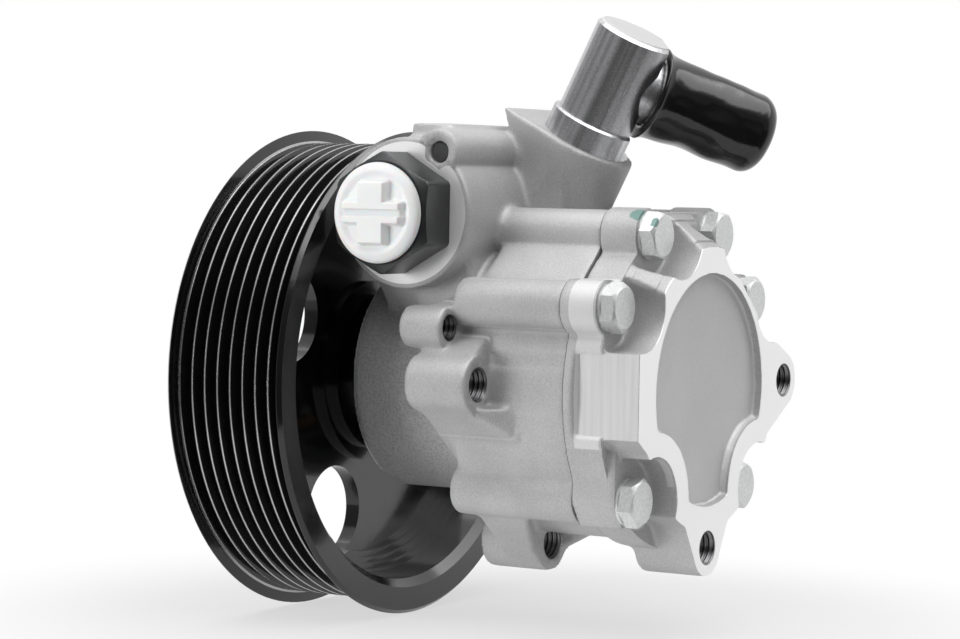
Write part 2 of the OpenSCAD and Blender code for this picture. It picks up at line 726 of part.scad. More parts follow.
module housing_bores() {
    ring_y(nose_front - cut, bearing_rear, bearing_od / 2, 0);
    ring_y(bearing_front - circlip_t - slip, bearing_front, bearing_od / 2 + circlip_groove + slip, 0);
    ring_y(bearing_rear - cut, seal_rear, seal_od / 2, 0);
    ring_y(seal_rear - cut, cavity_front + cut, shaft_d / 2 + 2, 0);
    ring_y(cavity_front, joint_y + cut, cavity_r, 0);
    at_bolts(bolt_drill, joint_y + cut, bolt_hole_d);
    bar_y(side_lug, lug_front - cut, lug_rear + cut, mount_hole_d);
    bar_y(lower_lug, lug_front - cut, lug_rear + cut, mount_hole_d);
    bar_y(bracket_lug, bracket_front - cut, bracket_front + bracket_lug_len + cut, bracket_hole_d);
    bar_x(bore_end, port_face + cut, valve_d);
    bar_x(union_inner - cut, port_face + cut, union_thread_d + 2 * slip);
    bar_x(port_face, gallery_face + cut, spotface_d);
    translate([gallery_face - gallery_pin_len, gallery_y, gallery_z]) rotate([0, 90, 0])
        cylinder(h = gallery_pin_len + cut, d = gallery_pin_d, $fn = medium);
    translate([gallery_face - 0.6, gallery_y, gallery_z]) rotate([0, 90, 0])
        cylinder(h = 0.6 + cut, d = gallery_pin_d + 2, $fn = medium);
    elbow_frame() translate([0, 0, -drill_reach])
        cylinder(h = drill_reach + cut, d = spigot_d + 2 * slip, $fn = medium);
    translate([elbow_x, drill_y, rotor_r]) cylinder(h = drill_top - rotor_r, d = passage_d, $fn = medium);
    translate([valve_end - cut, 0, nose_r + cut])
        cube([valve_body_len + 2 * cut, rim_half + pulley_clear, valve_body_d + port_z]);
}

module pump_housing() {
    color("#a9abac") difference() {
        housing_casting();
        housing_bores();
    }
}

module cover_seal() {
    color("#1b1c1d") turned() translate([seal_in + cover_seal_t / 2, joint_y + cover_seal_t / 2])
        circle(d = cover_seal_t, $fn = 24);
}

module rear_bush() { color("#b48a4c") ring_y(joint_y, joint_y + bush_len, bush_r, journal_d / 2 + run); }

// Half plane beyond the shaved upper corner of the mounting face
module shaved_corner() {
    rotate((bolt_angles[2] + bolt_angles[3]) / 2)
        translate([recess_d / 2 + shave_rim, -face_d]) square([face_d, 2 * face_d]);
}

// Outline of the mounting face with its ears
module face_outline() {
    shoulder = 4.6;
    shoulder_x = side_flat - 1.4 * shoulder;
    shoulder_z = side_flat_half + shoulder;
    difference() {
        circle(d = face_d, $fn = fine);
        shaved_corner();
    }
    polygon([[0, -shoulder_z], [shoulder_x, -shoulder_z], [side_flat, -side_flat_half],
             [side_flat, side_flat_half], [shoulder_x, shoulder_z], [0, shoulder_z]]);
    ear(side_ear, ear_r, side_ear_feet);
    ear(lower_ear, ear_r, lower_ear_feet);
}

// Square blocks under the lower bolt heads
module lower_blocks() {
    at = bolt_at(upper_bolts);
    out = bolt_boss_d / 2 + 0.4;
    for (s = [0, 1]) mirror([s, 0])
        polygon([[at[0] - 10, at[1] + 12], [at[0] + out, at[1] + 11.5], [at[0] + out, at[1] - 0.5],
                 [at[0] + 2, at[1] - out], [at[0] - 10, at[1] - out - 0.6]]);
}

// Ridges between the upper bolts that slope from the flange to the mounting face
module cover_ridges() {
    foot_r = cover_r - 0.3;
    difference() {
        union() {
            intersection() {
                turned() polygon([[0, bolt_seat - cut], [foot_r, bolt_seat - cut], [foot_r, bolt_seat],
                                  [face_d / 2, cover_face], [0, cover_face]]);
                translate([-face_d, joint_y, side_flat_half]) cube([2 * face_d, 2 * cover_t, face_d]);
            }
            translate([-crown_half, 0, 0]) rotate([90, 0, 90]) linear_extrude(2 * crown_half)
                polygon([[bolt_seat - cut, 0], [bolt_seat - cut, crown_z - 0.3], [bolt_seat, crown_z - 0.3],
                         [cover_face, face_d / 2 - 0.3], [cover_face, 0]]);
        }
        plate(bolt_seat + 2, cover_face + cut) shaved_corner();
    }
}

// Outline of the shallow recess inside the mounting face
module recess_outline() {
    difference() {
        circle(d = recess_d, $fn = fine);
        for (i = [4, 5]) translate(bolt_at(i)) circle(lower_scoop_r + 5.6, $fn = medium);
    }
}

module rear_cover() {
    color("#c4c6c7") difference() {
        union() {
            plate(joint_y, bolt_seat) {
                circle(cover_r, $fn = fine);
                for (i = [0 : upper_bolts - 1])
                    translate(bolt_at(i)) circle(d = bolt_boss_d + 1.2, $fn = medium);
                translate([-crown_half, 0]) square([2 * crown_half, crown_z]);
            }
            plate(joint_y, lower_seat) lower_blocks();
            plate(flat_y, cover_face) face_outline();
            cover_ridges();
        }
        plate(flat_y, cover_face + cut)
            translate([side_flat, -side_flat_half]) square([barrel_r, 2 * side_flat_half]);
        plate(cover_face - recess_depth, cover_face + cut) recess_outline();
        for (i = [0 : len(bolt_angles) - 1])
            bar_y(bolt_at(i), seat_at(i), cover_face + cut, 2 * (i < upper_bolts ? scoop_r : lower_scoop_r));
        at_bolts(joint_y - cut, lower_seat + cut, bolt_d + 0.6);
        for (ear = [side_ear, lower_ear])
            bar_y(ear, cover_face - ear_hole_depth, cover_face + cut, mount_hole_d);
        ring_y(joint_y - cut, bush_floor, bush_r, 0);
        ring_y(joint_y - cut, joint_y + cover_seal_t, seal_in + cover_seal_t + slip, seal_in - slip);
        pin_holes(joint_y - cut, joint_y + pin_depth, pin_d + 2 * slip);
    }
}

// Hexagon along the shaft's direction with its corners turned off
module hex_head(af, h, turned_off) {
    corner_r = af / sqrt(3);
    intersection() {
        cylinder(h = h, r = corner_r, $fn = 6);
        rotate_extrude($fn = medium)
            polygon([[0, 0], [corner_r, 0], [corner_r, h - turned_off], [af / 2 - 0.4, h], [0, h]]);
    }
}

module cover_bolts() {
    washer_h = 0.6;
    color("#cfd2d4") for (i = [0 : len(bolt_angles) - 1])
        translate([bolt_at(i)[0], seat_at(i), bolt_at(i)[1]]) rotate([0, bolt_turns[i], 0]) {
            translate([0, washer_h, 0]) rotate([-90, 0, 0]) hex_head(bolt_af, bolt_head_h - washer_h, 0.7);
            bar_y([0, 0], 0, washer_h, bolt_af + 0.8);
            bar_y([0, 0], -bolt_len, washer_h, bolt_d);
        }
}

// Points of a round wire wound along Z
function coil_ring(t, r, h, wire) =
    let (a = 360 * spring_turns * t, climb = atan2(h, 2 * PI * r * spring_turns))
    [for (k = [0 : 7]) let (b = k * 45)
        [(r + wire / 2 * cos(b)) * cos(a) + wire / 2 * sin(b) * sin(climb) * sin(a),
         (r + wire / 2 * cos(b)) * sin(a) - wire / 2 * sin(b) * sin(climb) * cos(a),
         h * t + wire / 2 * sin(b) * cos(climb)]];

module flow_valve_spring() {
    steps = spring_turns * 14;
    h = spring_floor - bore_end - spring_wire - 2 * slip;
    points = [for (i = [0 : steps]) each coil_ring(i / steps, spring_r, h, spring_wire)];
    sides = [for (i = [0 : steps - 1], k = [0 : 7])
        [i * 8 + k, i * 8 + 8 + k, i * 8 + 8 + (k + 1) % 8, i * 8 + (k + 1) % 8]];
    ends = [[for (k = [0 : 7]) k], [for (k = [7 : -1 : 0]) steps * 8 + k]];
    color("#8a8d90") valve_frame() translate([0, 0, bore_end + spring_wire / 2 + slip])
        polyhedron(points, concat(sides, ends), convexity = 10);
}

module flow_valve_spool() {
    land_r = valve_d / 2 - run;
    waist_r = land_r - 1.8;
    land = spool_len * 0.3;
    pocket_r = spring_r + spring_wire / 2 + 0.4;
    color("#a3a6a9") valve_frame() difference() {
        translate([0, 0, spool_left]) rotate_extrude($fn = fine)
            polygon([[0, 0], [land_r, 0], [land_r, land], [waist_r, land + 1], [waist_r, spool_len - land - 1],
                     [land_r, spool_len - land], [land_r, spool_len - 1.5], [land_r - 1.5, spool_len],
                     [0, spool_len]]);
        translate([0, 0, spool_left - cut]) cylinder(h = spring_pocket + cut, r = pocket_r, $fn = medium);
        translate([0, 0, spool_right - 6]) cylinder(h = 6 + cut, d = 4, $fn = medium);
    }
}

module pressure_union() {
    bore_d = 9;
    seal_seat = 2.4;
    color("#232426") valve_frame() difference() {
        union() {
            translate([0, 0, port_face]) hex_head(union_af, union_h, 1.3);
            translate([0, 0, union_inner])
                cylinder(h = union_thread_len + cut, d = union_thread_d, $fn = fine);
        }
        translate([0, 0, union_inner - cut])
            cylinder(h = union_thread_len + union_h + 2 * cut, d = bore_d, $fn = medium);
        translate([0, 0, port_face + union_h - union_socket_depth])
            cylinder(h = union_socket_depth + cut, d = union_socket_d, $fn = medium);
        translate([0, 0, port_face - seal_seat - 0.6]) rotate_extrude($fn = fine)
            translate([union_thread_d / 2 - 1.5, 0]) square([3, seal_seat]);
    }
}

module union_seal() {
    color("#1b1c1d") valve_frame() translate([0, 0, port_face - 1.8]) rotate_extrude($fn = fine)
        translate([union_thread_d / 2 - 0.6, 0]) circle(0.7, $fn = 24);
}

module pressure_cap() {
    head_r = cap_d / 2;
    stem_r = union_socket_d / 2 - run;
    stem_len = union_socket_depth - 3;
    edge = 0.7;
    rim = 2;
    dish = 0.8;
    grip_h = 1.7;
    slot = 1.4;
    upright = [15.2, 7.6];
    crossbar = [5.4, 16.7];
    color("#f2f3f3") valve_frame() translate([0, 0, port_face + union_h + rest_gap]) difference() {
        union() {
            rotate_extrude($fn = fine)
                polygon([[0, -stem_len], [stem_r - edge, -stem_len], [stem_r, edge - stem_len], [stem_r, 0],
                         [head_r - edge, 0], [head_r, edge], [head_r, cap_h - edge], [head_r - edge, cap_h],
                         [head_r - rim, cap_h], [head_r - rim - dish, cap_h - dish], [0, cap_h - dish]]);
            linear_extrude(cap_h - dish + grip_h) {
                square(upright, center = true);
                square(crossbar, center = true);
            }
        }
        translate([0, 0, cap_h - dish + grip_h - slot]) linear_extrude(slot + cut)
            square([slot, crossbar[1] + cut], center = true);
    }
}

module gallery_pin() {
    edge = 0.5;
    stand = gallery_face - port_face + 2 * rest_gap;
    color("#6d7073") translate([gallery_face - gallery_pin_len, gallery_y, gallery_z]) rotate([0, 90, 0])
        rotate_extrude($fn = medium)
            polygon([[0, 0.5], [gallery_pin_d / 2, 0.5], [gallery_pin_d / 2, gallery_pin_len - stand - edge],
                     [gallery_pin_d / 2 - edge, gallery_pin_len - stand], [0, gallery_pin_len - stand]]);
}

module suction_elbow() {
    r = elbow_d / 2;
    collar_r = r + 1.1;
    edge = 1;
    groove = 1.6;
    flat = r - 2;
    color("#c9ccce") difference() {
        union() {
            elbow_frame() difference() {
                rotate_extrude($fn = fine)
                    polygon([[0, -spigot_len], [spigot_d / 2 - edge, -spigot_len], [spigot_d / 2, edge - spigot_len],
                             [spigot_d / 2, -6], [spigot_d / 2 - groove, -6], [spigot_d / 2 - groove, -3.6],
                             [spigot_d / 2, -3.6], [spigot_d / 2, 0], [collar_r, 0], [collar_r, collar_h - edge / 2],
                             [collar_r - edge / 2, collar_h], [r, collar_h], [r, elbow_h - edge],
                             [r - edge, elbow_h], [0, elbow_h]]);
                rotate([0, 0, stub_angle]) translate([flat, -elbow_d, edge / 2])
                    cube([elbow_d, 2 * elbow_d, elbow_h]);
            }
            stub_frame() cylinder(h = stub_len, d = stub_d, $fn = medium);
        }
        stub_frame() cylinder(h = stub_len + cut, d = passage_d, $fn = medium);
        elbow_frame() translate([0, 0, -spigot_len - cut])
            cylinder(h = spigot_len + stub_z + cut, d = passage_d, $fn = medium);
    }
}

module elbow_seal() {
    color("#1b1c1d") elbow_frame() translate([0, 0, -4.8]) rotate_extrude($fn = fine)
        translate([spigot_d / 2 - 0.75, 0]) circle(0.75, $fn = 24);
}

module suction_cap() {
    lip = 2.4;
    lip_rise = 0.5;
    round_end = 4.5;
    color("#101113") stub_frame() difference() {
        rotate_extrude($fn = fine) intersection() {
            union() {
                translate([0, vinyl_start]) square([vinyl_r, vinyl_end - vinyl_start - round_end]);
                translate([0, vinyl_start]) square([vinyl_r - round_end, vinyl_end - vinyl_start]);
                translate([vinyl_r - round_end, vinyl_end - round_end]) circle(round_end, $fn = medium);
                translate([0, vinyl_start]) square([vinyl_r + lip_rise, lip]);
            }
            square([2 * vinyl_r, vinyl_end]);
        }
        cylinder(h = stub_len + rest_gap, r = vinyl_bore_r, $fn = medium);
    }
}

pulley();
drive_shaft();
bearing_circlip();
bearing_outer_ring();
bearing_inner_ring();
bearing_balls();
bearing_cage();
shaft_seal();
pump_housing();
front_port_plate();
cam_ring();
rotor();
vanes();
rotor_circlip();
rear_port_plate();
locating_pins();
cover_seal();
rear_bush();
rear_cover();
cover_bolts();
flow_valve_spring();
flow_valve_spool();
pressure_union();
union_seal();
pressure_cap();
gallery_pin();
suction_elbow();
elbow_seal();
suction_cap();
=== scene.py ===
"""Looks of a vane type power steering pump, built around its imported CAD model."""

import json
import math

import bmesh
import bpy
import numpy as np
from bpy.props import FloatProperty, FloatVectorProperty, IntProperty, PointerProperty
from mathutils import Matrix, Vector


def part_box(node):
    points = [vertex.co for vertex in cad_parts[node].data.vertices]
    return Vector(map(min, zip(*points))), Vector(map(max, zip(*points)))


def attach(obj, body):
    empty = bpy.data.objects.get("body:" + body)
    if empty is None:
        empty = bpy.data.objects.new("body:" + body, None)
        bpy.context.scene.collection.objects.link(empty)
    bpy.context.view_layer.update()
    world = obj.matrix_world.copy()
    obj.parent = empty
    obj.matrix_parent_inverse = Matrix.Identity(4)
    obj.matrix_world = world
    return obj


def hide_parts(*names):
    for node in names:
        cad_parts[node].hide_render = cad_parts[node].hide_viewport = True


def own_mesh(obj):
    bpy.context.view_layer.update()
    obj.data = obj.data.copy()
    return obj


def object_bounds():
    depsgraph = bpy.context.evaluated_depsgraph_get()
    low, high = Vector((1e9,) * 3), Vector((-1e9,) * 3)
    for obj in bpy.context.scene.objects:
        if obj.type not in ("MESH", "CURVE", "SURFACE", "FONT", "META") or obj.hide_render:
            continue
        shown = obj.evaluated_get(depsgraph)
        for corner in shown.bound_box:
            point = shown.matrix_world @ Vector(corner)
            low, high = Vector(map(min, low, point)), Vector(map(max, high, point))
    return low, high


bl_info = {
    "name": "Steering pump looks",
    "version": (1, 0, 0),
    "blender": (4, 5, 0),
    "location": "View3D > Sidebar > Pump",
    "description": "Finishes, castings, cap, threads and studio for a vane type steering pump",
    "category": "Object",
}

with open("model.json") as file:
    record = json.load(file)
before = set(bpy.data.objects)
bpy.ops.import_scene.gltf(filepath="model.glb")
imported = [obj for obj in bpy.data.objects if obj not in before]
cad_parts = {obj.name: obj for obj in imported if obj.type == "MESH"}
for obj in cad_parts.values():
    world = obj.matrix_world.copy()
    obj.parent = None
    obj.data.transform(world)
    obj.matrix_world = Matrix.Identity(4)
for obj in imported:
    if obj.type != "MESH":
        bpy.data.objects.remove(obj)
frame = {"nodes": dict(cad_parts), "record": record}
CAD_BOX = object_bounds()
NODES = frame["nodes"]
MOUNTS = {m["name"]: m for m in frame["record"]["mounts"]}
MM = 0.001
X, Y, Z = 0, 1, 2


def node_points(node):
    """Corner points of a CAD node at rest, as rows of x, y, z."""
    mesh = NODES[node].data
    flat = np.empty(3 * len(mesh.vertices), np.float32)
    mesh.vertices.foreach_get("co", flat)
    return flat.reshape(-1, 3).astype(float)


LOW = {name: np.array(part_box(name)[0]) for name in NODES}
HIGH = {name: np.array(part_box(name)[1]) for name in NODES}
NOSE_FRONT = LOW["pump_housing"][Y]
JOINT_Y = HIGH["pump_housing"][Y]
COVER_FACE = HIGH["rear_cover"][Y]
VALVE_AXIS = (LOW["flow_valve_spool"] + HIGH["flow_valve_spool"]) / 2
NOSE_BORE = 24 * MM
NOSE_RADIUS = 27.1 * MM
GRIT_TOP = 24 * MM
GRIT_REACH = 29 * MM
VALVE_BODY = 17.5 * MM
VALVE_BORE = 8 * MM
PLUG_BORE = 11.05 * MM
SEAT_BORE = 16.8 * MM
JOINT_LINE = 0.25 * MM
MIDDLE_Y = 0.04
PORT_STEPS = 288
SEAT_STEPS = 128
FLOOR_STEPS = 64
KEY_PLACE, KEY_SIZE = (0.22, 0.15, 0.8), 1.3
FILL_PLACE, FILL_SIZE = (-0.15, 1.05, 0.35), 0.8
FRONT_PLACE, FRONT_SIZE = (1.01, -0.55, 0.06), 0.5
SOFTBOX_PLACE, SOFTBOX_GAIN = (-0.2, 0.55, 0.81), 2.4


def a_length(name, description, millimetres, **more):
    return FloatProperty(name=name, description=description, default=millimetres * MM, unit="LENGTH", **more)


def a_count(name, description, default, **more):
    return IntProperty(name=name, description=description, default=default, **more)


def an_angle(name, description, degrees):
    return FloatProperty(name=name, description=description, default=math.radians(degrees), subtype="ANGLE")


def a_power(name, description, watts):
    return FloatProperty(name=name, description=description, default=watts, unit="POWER")


def a_number(name, description, default):
    return FloatProperty(name=name, description=description, default=default)


def a_colour(name, description, *default):
    return FloatVectorProperty(name=name, description=description, default=default, subtype="COLOR")


class PumpSizes(bpy.types.PropertyGroup):
    """Sizes of what is made here, beside the CAD solids"""

    housing_voxel: a_length("Housing mesh", "Spacing of the points on the housing", 0.6, min=0.4 * MM)
    cover_voxel: a_length("Cover mesh", "Spacing of the points on the cover", 0.5, min=0.4 * MM)
    housing_softness: a_count("Housing softness", "Smoothing passes that round the housing's edges", 6, min=0)
    cover_softness: a_count("Cover softness", "Smoothing passes that round the cover's edges", 6, min=0)
    most_triangles: a_count("Most triangles", "A casting with more is thinned to this", 180000, min=1000)
    port_face: a_length("Port face", "Distance of the pressure port's seat from the shaft", 34)
    pin_face: a_length("Pin boss face", "Distance of the gallery pin's boss face from the shaft", 34.8)
    side_flat: a_length("Side flat", "Distance of the cover's milled flat from the shaft", 34.8)
    recess_depth: a_length("Recess depth", "Depth of the recess in the cover's face", 2)
    recess_radius: a_length("Recess radius", "Radius of the recess in the cover's face", 26.7)
    flange: a_length("Cover flange", "Thickness of the cover under its upper bolts", 9.2)
    lower_rise: a_length("Lower seats", "How much further out the lower bolts sit", 1.6)
    port_seat: a_length("Port seat", "Outer radius of the turned seat round the pressure union", 16.6)
    elbow_tilt: an_angle("Elbow tilt", "Lean of the suction elbow to the rear", 27)
    thread_pitch: a_length("Thread pitch", "Pitch of the tapped mounting holes", 1.25)
    thread_depth: a_length("Thread depth", "Depth of the tapped threads", 0.62)
    wrinkle: a_length("Vinyl wrinkle", "Height of the wrinkles in the vinyl cap", 0.3)
    vinyl_wall: a_length("Vinyl wall", "Wall of the vinyl cap", 2.2)
    cap_overlap: a_length("Vinyl overlap", "How far the vinyl cap's soft end stands past its tube", 2.6)
    rib_pitch: a_length("Rib pitch", "Spacing of the belt ribs", 3.56)
    crest_radius: a_length("Crest radius", "Radius of the belt ribs' crests", 55.5)
    # Width of the painted highlight line along each crest
    crest_line_width: a_length("Crest wear", "Width of the bright line on each crest", 0.32)
    union_across: a_length("Union across flats", "Width of the pressure union's hexagon", 24.6)
    union_chamfer: a_length("Union chamfer", "Length of the cone at the hexagon's front", 1.8)
    dust_cap_radius: a_length("Dust cap radius", "Radius of the dust cap's head", 11.5)
    dust_cap_rise: a_length("Dust cap rise", "Height of the dust cap's grip above the union", 4.2)
    spring_turns: a_number("Spring turns", "Turns of the valve spring", 7.0)
    spring_wire: a_length("Spring wire", "Wire diameter of the valve spring", 1.5)


class PumpColours(bpy.types.PropertyGroup):
    """Colours of the finishes"""

    cast: a_colour("Casting", "Blasted aluminium of the castings", 0.57, 0.57, 0.57)
    cast_dark: a_colour("Casting shade", "Darker patches of the castings", 0.42, 0.42, 0.42)
    milled: a_colour("Milled face", "Freshly milled aluminium", 0.88, 0.88, 0.88)
    coat: a_colour("Pulley coat", "Black coat of the pulley", 0.005, 0.005, 0.0055)
    zinc: a_colour("Zinc plate", "Bright zinc on the bolts", 0.84, 0.85, 0.85)
    elbow: a_colour("Elbow", "Zinc plated turned steel of the elbow", 0.72, 0.72, 0.74)
    phosphate: a_colour("Phosphate", "Black phosphate on the union", 0.022, 0.023, 0.024)
    plastic: a_colour("Dust cap", "White moulded plastic", 0.84, 0.85, 0.85)
    vinyl: a_colour("Vinyl", "Black dipped vinyl", 0.006, 0.006, 0.006)
    paint: a_colour("Paint mark", "Torque mark beside an upper bolt", 0.10, 0.26, 0.23)


class StageSizes(bpy.types.PropertyGroup):
    """Camera and lamps"""

    azimuth: an_angle("Azimuth", "Direction of the camera round the pump", 121.1317)
    elevation: an_angle("Elevation", "Height of the camera above the horizon", 2.7028)
    roll: an_angle("Roll", "Tilt of the picture", 1.042)
    distance: a_length("Distance", "Distance of the camera", 728.2)
    aside: a_length("Aside", "How far the camera stands to the right", 28.85)
    above: a_length("Above", "How far the camera stands above", 12.35)
    lens: a_number("Lens", "Focal length in millimetres", 111.03)
    key: a_power("Key lamp", "Power of the lamp above", 7.9)
    fill: a_power("Fill lamp", "Power of the lamp on the cover's side", 0.3)
    front: a_power("Front lamp", "Power of the lamp on the left", 9.4)
    sky: a_number("Sky", "Brightness of the surroundings on dull surfaces", 0.16)
    room: a_number("Room", "Brightness of the dark side of the room in reflections", 0.03)


class Val:
    """A node's output that takes part in Python expressions, each of which adds a Math node"""

    def __init__(self, shader, socket):
        self.shader, self.socket = shader, socket

    def _math(self, operation, first, second=0.0):
        return self.shader.node("ShaderNodeMath", {"operation": operation}, {0: first, 1: second})

    def __add__(self, other):
        return self._math("ADD", self, other)

    __radd__ = __add__

    def __mul__(self, other):
        return self._math("MULTIPLY", self, other)

    __rmul__ = __mul__

    def __sub__(self, other):
        return self._math("SUBTRACT", self, other)

    def __rsub__(self, other):
        return self._math("SUBTRACT", other, self)

    def __truediv__(self, other):
        return self._math("DIVIDE", self, other)

    def __gt__(self, other):
        return self._math("GREATER_THAN", self, other)

    def __lt__(self, other):
        return self._math("LESS_THAN", self, other)

    def __mod__(self, other):
        return self._math("FLOORED_MODULO", self, other)

    def __pow__(self, other):
        return self._math("POWER", self, other)

    def __abs__(self):
        return self._math("ABSOLUTE", self)

    def rise(self, start, end):
        """0 below start, 1 above end and a smooth rise between them"""
        return self.shader.node(
            "ShaderNodeMapRange", {"interpolation_type": "SMOOTHSTEP"},
            {"Value": self, "From Min": start, "From Max": end})


class Shader:
    """A material whose nodes come from one method, on Object coordinates in metres"""

    def __init__(self, name, owner=bpy.data.materials, coordinates="Object"):
        self.material = owner.new(name)
        self.material.use_nodes = True
        self.tree = self.material.node_tree
        self.tree.nodes.clear()
        self.where = self.node("ShaderNodeTexCoord", out=coordinates)
        self.x, self.y, self.z = (self.node("ShaderNodeSeparateXYZ", {}, {0: self.where}, out)
                                  for out in range(3))

    def node(self, kind, settings=None, sockets=None, out=0):
        """Adds a node of any kind, first its settings and then the values or links of its sockets"""
        made = self.tree.nodes.new(kind)
        for key, value in (settings or {}).items():
            if key == "stops":
                ramp = made.color_ramp.elements
                for _ in value[2:]:
                    ramp.new(0.5)
                for stop, (place, tone) in zip(ramp, value):
                    stop.position, stop.color = place, (tone, tone, tone, 1.0)
            else:
                setattr(made, key, value)
        for key, value in (sockets or {}).items():
            if isinstance(value, Val):
                self.tree.links.new(value.socket, made.inputs[key])
            else:
                made.inputs[key].default_value = value
        return Val(self, made.outputs[out]) if made.outputs else None

    def leaning(self, angle):
        """Object coordinates turned about X, so that their Z runs along a leaning part"""
        return self.node("ShaderNodeMapping", {}, {"Vector": self.where, "Rotation": (angle, 0.0, 0.0)})

    def noise(self, scale, detail=2.0, stretch=None, where=None):
        """Noise from 0 to 1 with so many features to the metre, stretched along the axes"""
        where = where or self.where
        if stretch is not None:
            where = self.node("ShaderNodeVectorMath", {"operation": "MULTIPLY"}, {0: where, 1: stretch})
        return self.node("ShaderNodeTexNoise", {}, {"Vector": where, "Scale": scale, "Detail": detail})

    def mix(self, share, first, second):
        """Colour that goes from first to second as share goes from 0 to 1"""
        first, second = (c if isinstance(c, Val) else (*c, 1.0) for c in (first, second))
        return self.node("ShaderNodeMix", {"data_type": "RGBA"}, {0: share, 6: first, 7: second}, 2)

    def near(self, point, radius, ragged=0.0):
        """1 within radius of a point and 0 outside, with a ragged edge"""
        reach = self.node("ShaderNodeVectorMath", {"operation": "DISTANCE"},
                          {0: self.where, 1: tuple(point)}, "Value")
        if ragged:
            reach = reach + (self.noise(900, 3) - 0.5) * ragged
        return 1 - reach.rise(radius * 0.85, radius)

    def round_about(self, axis, centre):
        """Distance from a line along axis through centre"""
        parts = [v - float(centre[i]) for i, v in enumerate((self.x, self.y, self.z)) if i != axis]
        return (parts[0] * parts[0] + parts[1] * parts[1]) ** 0.5

    def bump(self, height, distance, strength=1.0):
        return self.node("ShaderNodeBump", {}, {"Height": height, "Distance": distance, "Strength": strength})

    def surface(self, **sockets):
        """Ends the tree in a Principled shader; names use _ for spaces"""
        named = {key.replace("_", " "): (*v, 1.0) if isinstance(v, (tuple, list)) and len(v) == 3 else v
                 for key, v in sockets.items()}
        shaded = self.node("ShaderNodeBsdfPrincipled", {}, named)
        self.node("ShaderNodeOutputMaterial", {}, {"Surface": shaded})
        return self.material


def rgb(colour, times=1.0):
    return tuple(c * times for c in colour)


def cast_grain(shader, colours):
    """Colour, roughness and height of blasted aluminium: salt and pepper grain over slow patches"""
    grain = shader.noise(3000, 2)
    fleck = shader.noise(4200, 1)
    patch = shader.noise(60, 3)
    tone = (grain * 0.6 + patch * 0.4).rise(0.3, 0.68)
    colour = shader.mix(tone, rgb(colours.cast_dark), rgb(colours.cast))
    colour = shader.mix(fleck.rise(0.66, 0.78) * 0.35, colour, rgb(colours.milled))
    return colour, 0.5 + grain * 0.14, grain * 0.6 + fleck * 0.4


def housing_finish(colours):
    """Casting with a turned front face, a gritty nose and a dark line along the joint"""
    s = Shader("housing_cast_aluminium")
    colour, rough, height = cast_grain(s, colours)
    reach = s.round_about(Y, (0, 0, 0))
    nose = (s.y < NOSE_FRONT + 0.9 * MM) * (reach > NOSE_BORE)
    gritty = s.y.rise(43 * MM, 37 * MM) * (s.z < GRIT_TOP) * (reach < GRIT_REACH)
    grit = s.noise(1700, 2).rise(0.42, 0.62)
    colour = s.mix(gritty * (0.04 + grit * 0.3), colour, rgb(colours.cast_dark, 0.4))
    colour = s.mix(nose, colour, rgb(colours.milled))
    colour = s.mix((s.y > JOINT_Y - JOINT_LINE) * 0.8, colour, rgb(colours.cast_dark, 0.25))
    return s.surface(Base_Color=colour, Metallic=0.35, Roughness=rough - nose * 0.2,
                     Normal=s.bump((height + gritty * grit) * (1 - nose), 0.06 * MM))


def seat_finish(colours):
    """Turned ring: fine grooves round the port's axis"""
    s = Shader("port_seat_turned")
    groove = s.node("ShaderNodeTexNoise", {"noise_dimensions": "1D"},
                    {"W": s.round_about(X, VALVE_AXIS), "Scale": 4000.0, "Detail": 2.0})
    base = s.mix(groove, rgb(colours.milled, 0.9), rgb(colours.milled, 1.08))
    return s.surface(Base_Color=base, Metallic=0.15, Roughness=0.3 + groove * 0.12,
                     Normal=s.bump(groove, 0.02 * MM))


def cover_finish(colours, sizes):
    """Casting with a milled face and flat, a turned recess, a painted highlight along the flange rim and a
    paint mark
    """
    s = Shader("cover_cast_aluminium")
    colour, rough, height = cast_grain(s, colours)
    reach = s.round_about(Y, (0, 0, 0))
    face = s.y > COVER_FACE - 0.12 * MM
    flat = (s.x > sizes.side_flat - 0.15 * MM) * (s.x < sizes.side_flat + 0.15 * MM)
    flat = flat * (abs(s.z) < 12 * MM)
    floor = (s.y < COVER_FACE - 0.6 * MM) * (s.y > COVER_FACE - sizes.recess_depth - 0.3 * MM)
    floor = floor * (reach < sizes.recess_radius - 0.2 * MM)
    bands = s.noise(1.0, 2, (60, 900, 40))
    swirl = s.noise(1.0, 2, (700, 1, 90))
    # Painted highlight: a strip on the side of the flange rim is mixed half way toward the milled colour
    painted_rim_highlight = (s.x > 27 * MM) * (s.y > JOINT_Y + 2.5 * MM) * (s.y < JOINT_Y + sizes.flange - 0.5 * MM)
    painted_rim_highlight = painted_rim_highlight * (s.z > -12 * MM) * (s.z < 26 * MM)
    colour = s.mix(painted_rim_highlight * 0.55, colour, rgb(colours.milled))
    colour = s.mix((s.y < JOINT_Y + JOINT_LINE) * 0.8, colour, rgb(colours.cast_dark, 0.25))
    colour = s.mix(floor * 0.55, colour, rgb(colours.milled, 0.9))
    colour = s.mix(face, colour, rgb(colours.milled))
    colour = s.mix(flat, colour, s.mix(bands, rgb(colours.milled, 0.66), rgb(colours.milled, 0.9)))
    mark = s.near(PAINT_ON_COVER, 2.6 * MM, 1.4 * MM)
    colour = s.mix(mark * 0.75, colour, rgb(colours.paint))
    milled = face + flat
    height = height * (1 - milled) + swirl * face * 0.12 + bands * flat * 0.3
    return s.surface(Base_Color=colour, Metallic=0.35 + face * 0.5,
                     Roughness=rough * (1 - milled * 0.4) + mark * 0.1, Normal=s.bump(height, 0.06 * MM))


